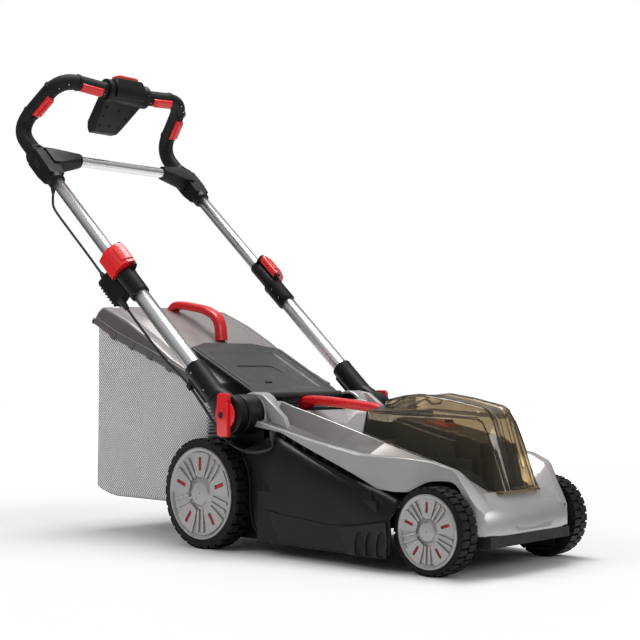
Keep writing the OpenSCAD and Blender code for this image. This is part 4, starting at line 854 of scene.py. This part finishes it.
reliefs = []
for s0, s1, r0, r1 in ((436, 451, 7, 4), (367, 340, 8, 5)):
    reliefs.append(rod(on_tube(-1, 14.5, -36, s0), up_tube * (1 if s1 > s0 else -1), abs(s1 - s0), r0, r1))
new_piece("cable_box_reliefs", reliefs, CABLE, "lower_handle", bevel=0.8)
screws("cable_box_screws", [on_tube(-1, x, -54, s) for x in (5, 18) for s in (370, 434)],
       tuple(-across_tube), 2.4, "lower_handle")

# ---- grip loop

GRIP_R = 17
start, bend = (TUBE_X, *along(819)), (TUBE_X + 1, *along(909))
corner, bar_end = (170, 500, 946), (60, 497, 938)


def turned(a, b, c, run, count=9):
    """Quadratic curve round the corner b."""
    a, b, c = Vector(a), Vector(b), Vector(c)
    p, q = b + (a - b).normalized() * run, b + (c - b).normalized() * run
    return [tuple(p * (1 - t) ** 2 + b * (2 * t * (1 - t)) + q * t * t) for t in np.linspace(0, 1, count)]


loop_half = [start, *turned(start, bend, corner, 52), *turned(bend, corner, bar_end, 48), bar_end]
loop_line = loop_half + [(-x, y, z) for x, y, z in loop_half[::-1]]
new_piece("grip_tube", tube(loop_line, GRIP_R, 40), GRIP, "upper_handle", ["grip_loop"], "grip_foam")
rings = []
for a, b, t in ((bend, corner, 0.3), (bend, corner, 0.78), (corner, bar_end, 0.36), (corner, bar_end,
        0.97)):
    spot = Vector(a).lerp(Vector(b), t)
    rings.append(spun([(0, 15), (0, 17.6), (1, 18.4), (5, 18.4), (6, 17.6), (6, 15)], spot,
                      Vector(b) - Vector(a), 40))
new_piece("grip_rings", both(rings), BLACK, "upper_handle")


def paddle(a, b, share0, share1, side, body):
    """Squeeze bar: a cushion-shaped shell along one straight of the loop, facing forwards and down."""
    a, b = Vector(a), Vector(b)
    line = (b - a).normalized()
    face = Vector((0, -0.75, -0.66))
    face = (face - line * face.dot(line)).normalized()
    cross = line.cross(face)
    rows = []
    for t in np.linspace(0, 1, 20):
        point = a.lerp(b, share0 + (share1 - share0) * t)
        swell = min(1, sin(pi * min(max(t, 0.015), 0.985)) * 3) ** 0.6
        row = []
        for turn, out in ([(radians(d), 17.7) for d in range(-30, 31, 10)]
                          + [(radians(d), 17.7 + 7.2 * swell * (1 - (d / 31) ** 6)) for d in range(30, -31,
                -5)]):
            p = point + face * (out * cos(turn)) + cross * (out * sin(turn))
            row.append((side * p.x, p.y, p.z))
        rows.append(row)
    new_piece(body + "_pad", grid(rows, True, True), RED, body, [body], "red_plastic", sharp=50)


for side, name in ((1, "left"), (-1, "right")):
    paddle(corner, bar_end, 0.42, 0.92, side, f"top_paddle_{name}")
    paddle(bend, corner, 0.36, 0.72, side, f"side_paddle_{name}")

# Brackets that join tube, loop and crossbar
blocks, pits = [], []
for side in (-1, 1):
    sleeve = [(711, 12.8), (711, 17), (713, 18.4), (728, 18.4), (731, 16.5), (731, 12.8)]
    blocks.append(spun(sleeve, (side * TUBE_X, *along(0)), up_tube, 32))

    def block(spans):
        return hull([on_tube(side, x, n, s) for x0, x1, n0, n1, s in spans for x in (x0, x1) for n in (n0,
                n1)])

    blocks.append(block(((-17, 18, -16, 17, 724), (-21, 20, -19, 20, 752), (-21, 20, -19, 21, 800))))
    blocks.append(block(((-19, 19, -18, 19, 798), (-15, 15, -15, 15, 826), (-19, 19, -17, 18, 812))))
    blocks.append(spun([(0, 17), (0, 19.4), (8, 19.4), (10, 17.5), (10, 16)], on_tube(side, 0, 0, 818),
                       up_tube, 32))
    socket = [(side * x, cross_y + 16 * cos(t), cross_z + 16 * sin(t)) for x in (115, 158)
              for t in np.linspace(0, 2 * pi, 14)]
    socket += [on_tube(side, x, n, s) for x in (-24, -6) for n in (-8, 24) for s in (757, 809)]
    blocks.append(hull(socket))
    for s in (762, 776, 790):
        pits.append(hull([on_tube(side, x, n, s + h) for x in (-10, 10) for n in (-19.6, -17) for h in (0,
                6)]))
    pits.append(hull([on_tube(side, x, n, s) for x in (20.4, 18) for n in (-6, 8) for s in (764, 786)]))
new_piece("grip_brackets", blocks, BLACK, "upper_handle", bevel=2.2, segments=3)
# Slots drawn as near-black pads: painted shade
new_piece("bracket_slots", pits, PIT_SHADE, "upper_handle", bevel=0.4)
holes = [tuple(Vector(a).lerp(Vector(b), t) + Vector((0, -0.66, -0.75)) * 17) for a, b,
         t in ((bend, corner, 0.08), (bend, corner, 0.9), (corner, bar_end, 0.12), (corner, bar_end, 0.96),
               (start, bend, 0.2))]
screws("loop_screws_left", holes, (0, -0.66, -0.75), 2.6, "upper_handle")
screws("loop_screws_right", [(-x, y, z) for x, y, z in holes], (0, -0.66, -0.75), 2.6, "upper_handle")

# ---- control box

barrel = [(-57, 17.5), (-57, 22), (-55, 25.5), (-45, 25.5), (-43, 23.5), (43, 23.5), (45, 25.5), (55, 25.5),
          (57, 22), (57, 17.5)]
new_piece("control_barrel", spun_x(barrel, CONTROL_Y, CONTROL_Z), BLACK, "upper_handle", ["control_box"],
          "control_black", sharp=50)
dome = [(x, CONTROL_Y + 27 * cos(t), CONTROL_Z + 26 * sin(t)) for x in (-40, 40) for t in np.linspace(-0.6,
        3.8, 14)]
dome += box_points((-34, 478, 958), (34, 519, 967))
new_piece("control_dome", hull(dome), BLACK, "upper_handle", bevel=3, segments=3)
apron = [(x, 513 + 15 * cos(t), 926 + 15 * sin(t)) for x in (-49, 49) for t in np.linspace(0, 5.9, 12)]
apron += box_points((-31, 567, 859), (31, 588, 876)) + box_points((-35, 556, 868), (35, 588, 884))
new_piece("control_apron", hull(apron), BLACK, "upper_handle", bevel=4, segments=3)
apron_down = Vector((0, -0.77, -0.64))
apron_spots = []
for share in (0.2, 0.5, 0.8):
    for x in (-1, 1):
        apron_spots.append((x * (38 - 14 * share), 501 + 64 * share, 915 - 54 * share))
apron_spots += [(0, 519, 900), (0, 552, 872)]
# Screw holes drawn as near-black discs, heads included: painted shade of the holes
screws("apron_screws", [tuple(Vector(p) + apron_down * 1.2) for p in apron_spots], apron_down, 3.6,
       "upper_handle", PIT_SHADE)
frame_plate = box_points((-31, 481, 966), (31, 513, 967.2))
new_piece("button_frame", hull(frame_plate), BLACK_SOFT, "upper_handle", bevel=0.8)
cap = box_points((-27.5, 484.5, 967), (27.5, 509.5, 973)) + box_points((-22, 488, 975.4), (22, 506, 975.6))
new_piece("start_cap", hull(cap), RED, "start_button", ["start_button"], "red_plastic", bevel=1.6,
          segments=3)

# ---- wheels


def smooth_step(x, edge, width):
    t = min(max((x - edge) / width + 0.5, 0), 1)
    return t * t * (3 - 2 * t)


def wheel_trim(side, y, radius, cap_radius, out_x, body, node):
    """Hubcap with petals, slots and bars, rounded side wall of the tyre, ribs on the hollow inner side."""
    z = radius
    big = cap_radius
    fifths = circle(5)

    def put(shape, turn, lift):
        """A shape drawn upright from the wheel's axis, turned about it and laid on the face."""
        c, s = cos(turn), sin(turn)
        return [(side * (out_x + lift + w), y + u * c - v * s, z + u * s + v * c) for u, v,
                w in shape[0]], shape[1]

    dish = [(-3, 1), (-3, big), (2.2, big), (3, big - 1), (3, big - 3.5), (0.6, big - 7), (-1.2, big - 8.5),
            (-1.6, big * 0.32), (0.4, big * 0.27), (2.4, big * 0.25), (2.9, big * 0.14), (3, 1)]
    new_piece(node + "_dish", spun_x([(side * (out_x + h), r) for h, r in dish], y, z, 96), HUBCAP, body,
              [node], "hubcap", sharp=40)
    wedge = [(-0.13 * big, 0.36 * big), (-0.3 * big, 0.86 * big), (-0.1 * big, 0.9 * big), (0.1 * big,
            0.9 * big), (0.3 * big, 0.86 * big), (0.13 * big, 0.36 * big)]
    slot = round_loop([(-0.042 * big, 0.5 * big), (0.042 * big, 0.5 * big), (0.042 * big, 0.8 * big),
                       (-0.042 * big, 0.8 * big)], 0.03 * big)
    petal = cut_shape(round_loop(wedge, 0.05 * big), [slot], 3.2)
    petals = [put(petal, turn, 0.3) for turn in fifths]
    new_piece(node + "_petals", petals, HUBCAP, body, bevel=0.9)
    red = cut_shape([(-0.06 * big, 0.48 * big), (0.06 * big, 0.48 * big), (0.06 * big, 0.82 * big),
                     (-0.06 * big, 0.82 * big)], [], 0.6)
    new_piece(node + "_slots", [put(red, turn, -0.9) for turn in fifths], RED_INSERT_AND_GROOVE_SHADE, body)
    rods = []
    for turn in fifths:
        for lean in (-1, 1):
            ends = [(lean * (0.065 + 0.02 * share) * big + 0.036 * big * cos(a), r + 0.036 * big * sin(a),
                     w) for r, share in ((0.4 * big, 0), (0.83 * big, 1)) for a in np.linspace(0, 2 * pi,
                    11) for w in (-1.6, 1.9)]
            rods.append(put(hull(ends), turn + pi / 5, 0))
    new_piece(node + "_bars", rods, HUBCAP, body, bevel=0.9)
    wall = [(out_x - 8, cap_radius + 0.3), (out_x - 1.2, cap_radius + 0.3), (out_x + 0.3, cap_radius + 1.8),
            (out_x + 0.5, cap_radius + 4), (out_x - 0.2, radius - 7), (out_x - 2, radius - 4.6), (out_x - 8,
            radius - 4.2)]
    new_piece(body + "_side_wall", spun_x([(side * px, r) for px, r in wall], y, z, 96), TYRE, body,
              sharp=60)
    ribs = []
    for a in circle(12):
        c, s = cos(a), sin(a)
        ribs.append(hull([(side * px, y + r * c - w * s, z + r * s + w * c) for px in (out_x - 30,
                out_x - 11) for r in (13, radius - 15) for w in (-1.5, 1.5)]))
    new_piece(body + "_ribs", ribs, TYRE, body)


for side, name in ((1, "left"), (-1, "right")):
    wheel_trim(side, 0, REAR_R, REAR_CAP_R, REAR_FACE_X, f"rear_wheel_{name}", f"rear_cap_{name}")
    wheel_trim(side, -WHEELBASE, FRONT_R, FRONT_CAP_R, FRONT_FACE_X, f"front_wheel_{name}",
               f"front_cap_{name}")

# ---- grass catcher

RIM_LOW = [(30, 276), (73, 297), (171, 337), (302, 384), (380, 420)]
RIM_TOP = [(30, 300), (80, 320), (145, 350), (200, 384), (269, 420), (320, 441), (351, 453), (362, 450),
           (380, 428)]
CROWN = [(30, 300), (60, 318), (120, 350), (160, 372), (200, 394), (269, 429), (320, 447), (351, 456),
         (362, 453), (380, 430)]


def plan_ring(radius=14, count=7):
    """Closed outline of the bag in plan, with its corners rounded, starting at the middle of the front."""
    points = []
    for cx, cy, a0 in ((1, 1, 0), (-1, 1, 90), (-1, -1, 180), (1, -1, 270)):
        r = radius if cy > 0 else radius * 0.5
        x, y = cx * (BAG_HALF - r), (BAG_BACK - r) if cy > 0 else (BAG_FRONT + r)
        for k in range(count):
            a = radians(a0 + 90 * k / (count - 1))
            points.append((x + r * cos(a), y + r * sin(a)))
    dense = []
    for p, q in zip(points, points[1:] + points[:1]):
        steps = max(1, round(dist(p, q) / 9))
        dense += [(p[0] + (q[0] - p[0]) * k / steps, p[1] + (q[1] - p[1]) * k / steps)
                  for k in range(steps)]
    return dense


def bag_level(share):
    """Ring of the bag at a share of its height; the walls belly out by a few millimetres."""
    ring = []
    for x, y in plan_ring():
        foot = 82 + max(0, y - 330) * 0.25
        top = rail(RIM_LOW, y)[0] + 6
        z = foot + (top - foot) * share
        pull = 1 - 0.004 * sin(pi * share) * (1 + 0.35 * sin(x * 0.05 + z * 0.02))
        ring.append((x * pull, BAG_MIDDLE + (y - BAG_MIDDLE) * pull, z))
    return ring


levels = [bag_level(share) for share in np.linspace(0, 1, 24)]
foot_ring = levels[0]
floor_rows = []
for inset, drop in ((140, 12), (100, 12), (60, 12), (24, 12), (12, 11), (6, 8.5), (2.5, 5), (0.6, 2.4)):
    across, length = 1 - inset / BAG_HALF, 1 - inset / (BAG_BACK - BAG_MIDDLE)
    floor_rows.append([(x * across, BAG_MIDDLE + (y - BAG_MIDDLE) * length, z - drop) for x, y,
                       z in foot_ring])
bag_verts, bag_faces = grid(floor_rows + levels, True)
bag_faces.append(tuple(range(len(foot_ring))))


def in_mouth(face):
    x, y, z = np.mean([bag_verts[i] for i in face], axis=0)
    return y < 32 and abs(x) < 99 and 99 < z < 247


bag_faces = [face for face in bag_faces if not in_mouth(face)]
bag = new_piece("bag_cloth", (bag_verts, bag_faces), MESH_CLOTH, "catcher", ["catcher_bag"], "bag_fabric",
                sharp=70)
mouth = round_loop([(-109, 90), (109, 90), (109, 256), (-109, 256)], 8)
mouth_hole = round_loop([(-98, 101), (98, 101), (98, 245), (-98, 245)], 6)
cut_plate("bag_mouth_frame", mouth, [mouth_hole], lambda u, v, w: (u, 33 + w, v), 5, BLACK, "catcher", 1)


def lid_row(y):
    """Lid section from the near rim over the crown to the far rim."""
    low, top, crown = rail(RIM_LOW, y)[0], rail(RIM_TOP, y)[0], rail(CROWN, y)[0]
    step = low + 0.55 * (top - low)
    half = [(0, crown + 1), (70, crown + 0.5), (118, crown - 1), (140, top - 1), (146, top + 1), (163, top),
            (168, top - 4), (168, step), (170, step - 2), (170, low + 4), (169, low)]
    half = [(x, z) for x, z in rounded(half, 2.5, 2)]
    return [(-x, y, z) for x, z in half[:0:-1]] + [(x, y, z) for x, z in half]


lid_stations = [30, 34, *range(42, 380, 9), 376, 380]
lid_rows = [lid_row(y) for y in lid_stations]
back = [(x * 0.985, 383, z - 8 if z > rail(RIM_LOW, 380)[0] + 8 else z) for x, y, z in lid_rows[-1]]
base = [(x * 0.985, 383, rail(RIM_LOW, 380)[0]) for x, y, z in lid_rows[-1]]
lid = new_piece("lid_shell", grid(lid_rows + [back, base]), LID_SILVER, "catcher", ["catcher_lid"],
                "silver_shell", thickness=2.4, bevel=0.8, sharp=35)
repaint(lid, LID_RIM, lambda x, y, z: abs(x) > 164 and z < rail(RIM_TOP, y)[0] - 1)
front = [(x, 30, z) for x, z in ((-168, 276), (-168, 298), (-118, 300), (0, 301), (118, 300), (168, 298),
                                 (168, 276))]
new_piece("lid_front", grid([front, [(x, 32.5, z) for x, y, z in front]], True, True), LID_RIM, "catcher",
          bevel=0.6)
# Hooks that hold the bag under the rim: stepped blocks along both sides
hooks = []
for y in (70, 128, 186, 244, 302):
    low = rail(RIM_LOW, y)[0]
    slope = 0.41
    for y0, y1, z0, z1, x in ((0, 26, 4, 15, 171.2), (6, 20, -3, 8, 171.4)):
        hooks.append(hull([(px, y + d, low + d * slope + h) for px in (168, x) for d in (y0, y1)
                           for h in (z0, z1)]))
new_piece("lid_hooks", both(hooks), LID_RIM, "catcher", bevel=0.8)
rails_along = [(171, y, rail(RIM_LOW, y)[0] + 18) for y in range(52, 376, 12)]
new_piece("lid_groove", both(tube(rails_along, 0.8, 8)), LID_SILVER, "catcher")

tab = []
for y, lift in ((315, 1), (315, 4.5), (337, 1), (337, 6.5)):
    tab += [(x, y, rail(CROWN, y)[0] + lift) for x in (-70, -40)]
new_piece("fill_tab", hull(tab), RED, "fill_flap", ["fill_flap"], "red_plastic", bevel=1.4, segments=3)


def flap_row(v):
    """Row of the rear flap: raised side ridges round a shallow recess."""
    y = FLAP_FOOT_Y + FLAP_RUN * v
    width = rail([(0, 114), (0.885, 121), (1, 66.5)], v)[0]
    z = FLAP_FOOT_Z + FLAP_RISE * v
    row = []
    for u in np.linspace(-1, 1, 81):
        x = abs(u) * width
        ridge = smooth_step(x, width - 13, 3) * (1 - smooth_step(x, width - 4, 3)) * smooth_step(v, 0.06,
                0.06)
        ridge *= 1 - smooth_step(v, 0.86, 0.08)
        dip = (1 - smooth_step(x, width * 0.72, 4)) * smooth_step(v, 0.16, 0.03) * (1 - smooth_step(v, 0.8,
                0.03))
        lip = smooth_step(v, 0.93, 0.04)
        row.append((u * width, y, z + 4 * ridge - 2.6 * dip - 1.5 * lip - 9))
    return row


flap_rows = [flap_row(v) for v in [*np.linspace(0, 0.88, 70), 0.885, *np.linspace(0.9, 1, 10)]]
new_piece("flap_plate", grid(flap_rows), FLAP, "rear_flap", ["rear_flap"], "flap_black", thickness=4,
          bevel=0.6, sharp=40)
new_piece("flap_barrel", rod((-104, -56, 277), (1, 0, 0), 208, 7, segments=32), FLAP, "rear_flap", bevel=1)
# Thin darker tube along the crease: painted shade of the fold
crease = [(-62 + 10 * k, 62, FLAP_FOOT_Z + FLAP_RISE * 0.56 - 11) for k in range(9)]
crease += [(30, 58, FLAP_FOOT_Z + FLAP_RISE * 0.54 - 11), (38, 36, FLAP_FOOT_Z + FLAP_RISE * 0.43 - 11)]
new_piece("flap_crease", tube(crease, 0.7, 6), BLACK, "rear_flap")
# Slot drawn as a near-black pad: painted shade
new_piece("flap_slot", hull([(x, y, z) for x in (-46, -30) for y, z in ((-2, 299.8), (2, 301.8),
        (-2, 301.5), (2, 303.4))]), PIT_SHADE, "rear_flap")

# ---- control cable


def cable_at(x, s, n):
    return (x, *along(s, n))


UPPER_CABLE = [cable_at(-206, 704, -18), cable_at(-208, 690, -32), cable_at(-213, 665, -38), cable_at(-215,
        600, -37), cable_at(-215, 520, -36), cable_at(-215, 450, -36)]
LOWER_CABLE = [cable_at(-215, 340, -36), cable_at(-215, 290, -36), cable_at(-212, 200, -37), cable_at(-200,
        150, -38), cable_at(-197, 112, -38), cable_at(-197, 60, -40), cable_at(-197, 20, -44), (-197, -58,
        196), (-200, -100, 182), (-200, -137, 179), (-188, -154, 184), (-182.2, -158, 190), (-182.2, -158,
        200)]
CABLE_D = 5


def corded(name, points, steps, node, body):
    """Cable along the points, riding on one body of the handle."""
    line = curve_through(points, steps)
    piece = new_piece(name, tube(line, CABLE_D / 2, 14), CABLE, body, [node], "cable_rubber")
    length = 0.001 * sum(dist(a, b) for a, b in zip(points, points[1:]))


corded("upper_cable_run", UPPER_CABLE, 4, "cable_upper", "upper_handle")
corded("lower_cable_run", LOWER_CABLE, 3, "cable_lower", "lower_handle")
relief_foot = cable_at(-205, 712, -12)
relief_axis = Vector(UPPER_CABLE[1]) - Vector(relief_foot)
new_piece("upper_cable_relief", rod(relief_foot, relief_axis, 14, 6, 3.6, 20), CABLE, "upper_handle",
          bevel=0.8)

# ---- kept CAD nodes

KEPT = {ZINC: "body_screws pivot_bolts rear_crank front_crank height_lever tie_rod motor_shaft blade_bolt",
        BLACK: "deck handle_sockets clamp_collars cable_box cable_clip control_box",
        BLACK_SOFT: "grass_combs motor_controller height_gate blade_fan", SILVER: "hood", CAN: "motor_can",
        BLADE: "blade", SMOKE: "battery_cover", ORANGE: "battery_release",
        BATTERY: "battery_tray battery_pack", CABLE: "cable_grommet cable_upper cable_lower",
        GRIP: "grip_loop", ALLOY: "lower_tubes upper_tubes crossbar", MESH_CLOTH: "catcher_bag",
        LID_SILVER: "catcher_lid", FLAP: "rear_flap",}
for name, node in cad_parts.items():
    if "wheel" in name:
        material = TYRE
    elif "insert" in name:
        material = RED_INSERT_AND_GROOVE_SHADE
    elif "_cap_" in name:
        material = HUBCAP
    else:
        material = next((look for look, names in KEPT.items() if name in names.split()), RED)
    node.data.materials.clear()
    node.data.materials.append(material)

# ---- floor, light and camera

bpy.context.scene.view_settings.view_transform = "Standard"
floor_material, _, _, floor_surface = shader("studio_floor")
floor_surface.inputs["Base Color"].default_value = (0.93, 0.93, 0.93, 1)
floor_surface.inputs["Roughness"].default_value = 0.6
floor_mesh = bpy.data.meshes.new("floor")
floor_mesh.from_pydata([(-9, -9, 0), (9, -9, 0), (9, 9, 0), (-9, 9, 0)], [], [(0, 1, 2, 3)])
floor_mesh.materials.append(floor_material)
floor = bpy.data.objects.new("floor", floor_mesh)
bpy.context.scene.collection.objects.link(floor)
floor.is_shadow_catcher = True

world = bpy.data.worlds.new("studio")
world.use_nodes = True
sky, sky_links = world.node_tree.nodes, world.node_tree.links
room = sky["Background"]
direction = sky.new("ShaderNodeTexCoord")
split = sky.new("ShaderNodeSeparateXYZ")
sky_links.new(direction.outputs["Generated"], split.inputs["Vector"])
sky_links.new(ramp(sky, sky_links, split.outputs["Z"], 0.11, 0.6, (0.05, 0.9)), room.inputs["Color"])
backdrop = sky.new("ShaderNodeBackground")
backdrop.inputs["Color"].default_value = (1, 1, 1, 1)
seen = sky.new("ShaderNodeLightPath")
choice = sky.new("ShaderNodeMixShader")
sky_links.new(seen.outputs["Is Camera Ray"], choice.inputs["Fac"])
sky_links.new(room.outputs["Background"], choice.inputs[1])
sky_links.new(backdrop.outputs["Background"], choice.inputs[2])
sky_links.new(choice.outputs["Shader"], sky["World Output"].inputs["Surface"])
bpy.context.scene.world = world


def soft_light(name, spot, size, power, mirrored=True):
    lamp = bpy.data.lights.new(name, "AREA")
    lamp.shape = "DISK"
    lamp.size = size
    lamp.energy = power
    light = bpy.data.objects.new(name, lamp)
    light.location = spot
    light.rotation_euler = (Vector((0, 0, 0.3)) - Vector(spot)).to_track_quat("-Z", "Y").to_euler()
    light.visible_glossy = mirrored
    bpy.context.scene.collection.objects.link(light)


soft_light("overhead", (0.4, 0.3, 3.2), 2.0, 75)
soft_light("near_side", (-2.6, 0.9, 1.9), 1.2, 22, False)
soft_light("front", (0.9, -3.0, 1.6), 1.2, 16)

eye = mm(-1766.4, -1768.1, 323.5)
aim = mm(122.5, 15.6, 425.1)
lens = bpy.data.cameras.new("camera")
lens.lens = 72.3
lens.sensor_width = 36
camera = bpy.data.objects.new("camera", lens)
forward = (aim - eye).normalized()
right = Vector((0.68657, -0.72706, 0)).normalized()
upward = right.cross(forward)
turn = Matrix((right, upward, -forward)).transposed().to_4x4()
camera.matrix_world = Matrix.Translation(eye) @ turn
bpy.context.scene.collection.objects.link(camera)
bpy.context.scene.camera = camera
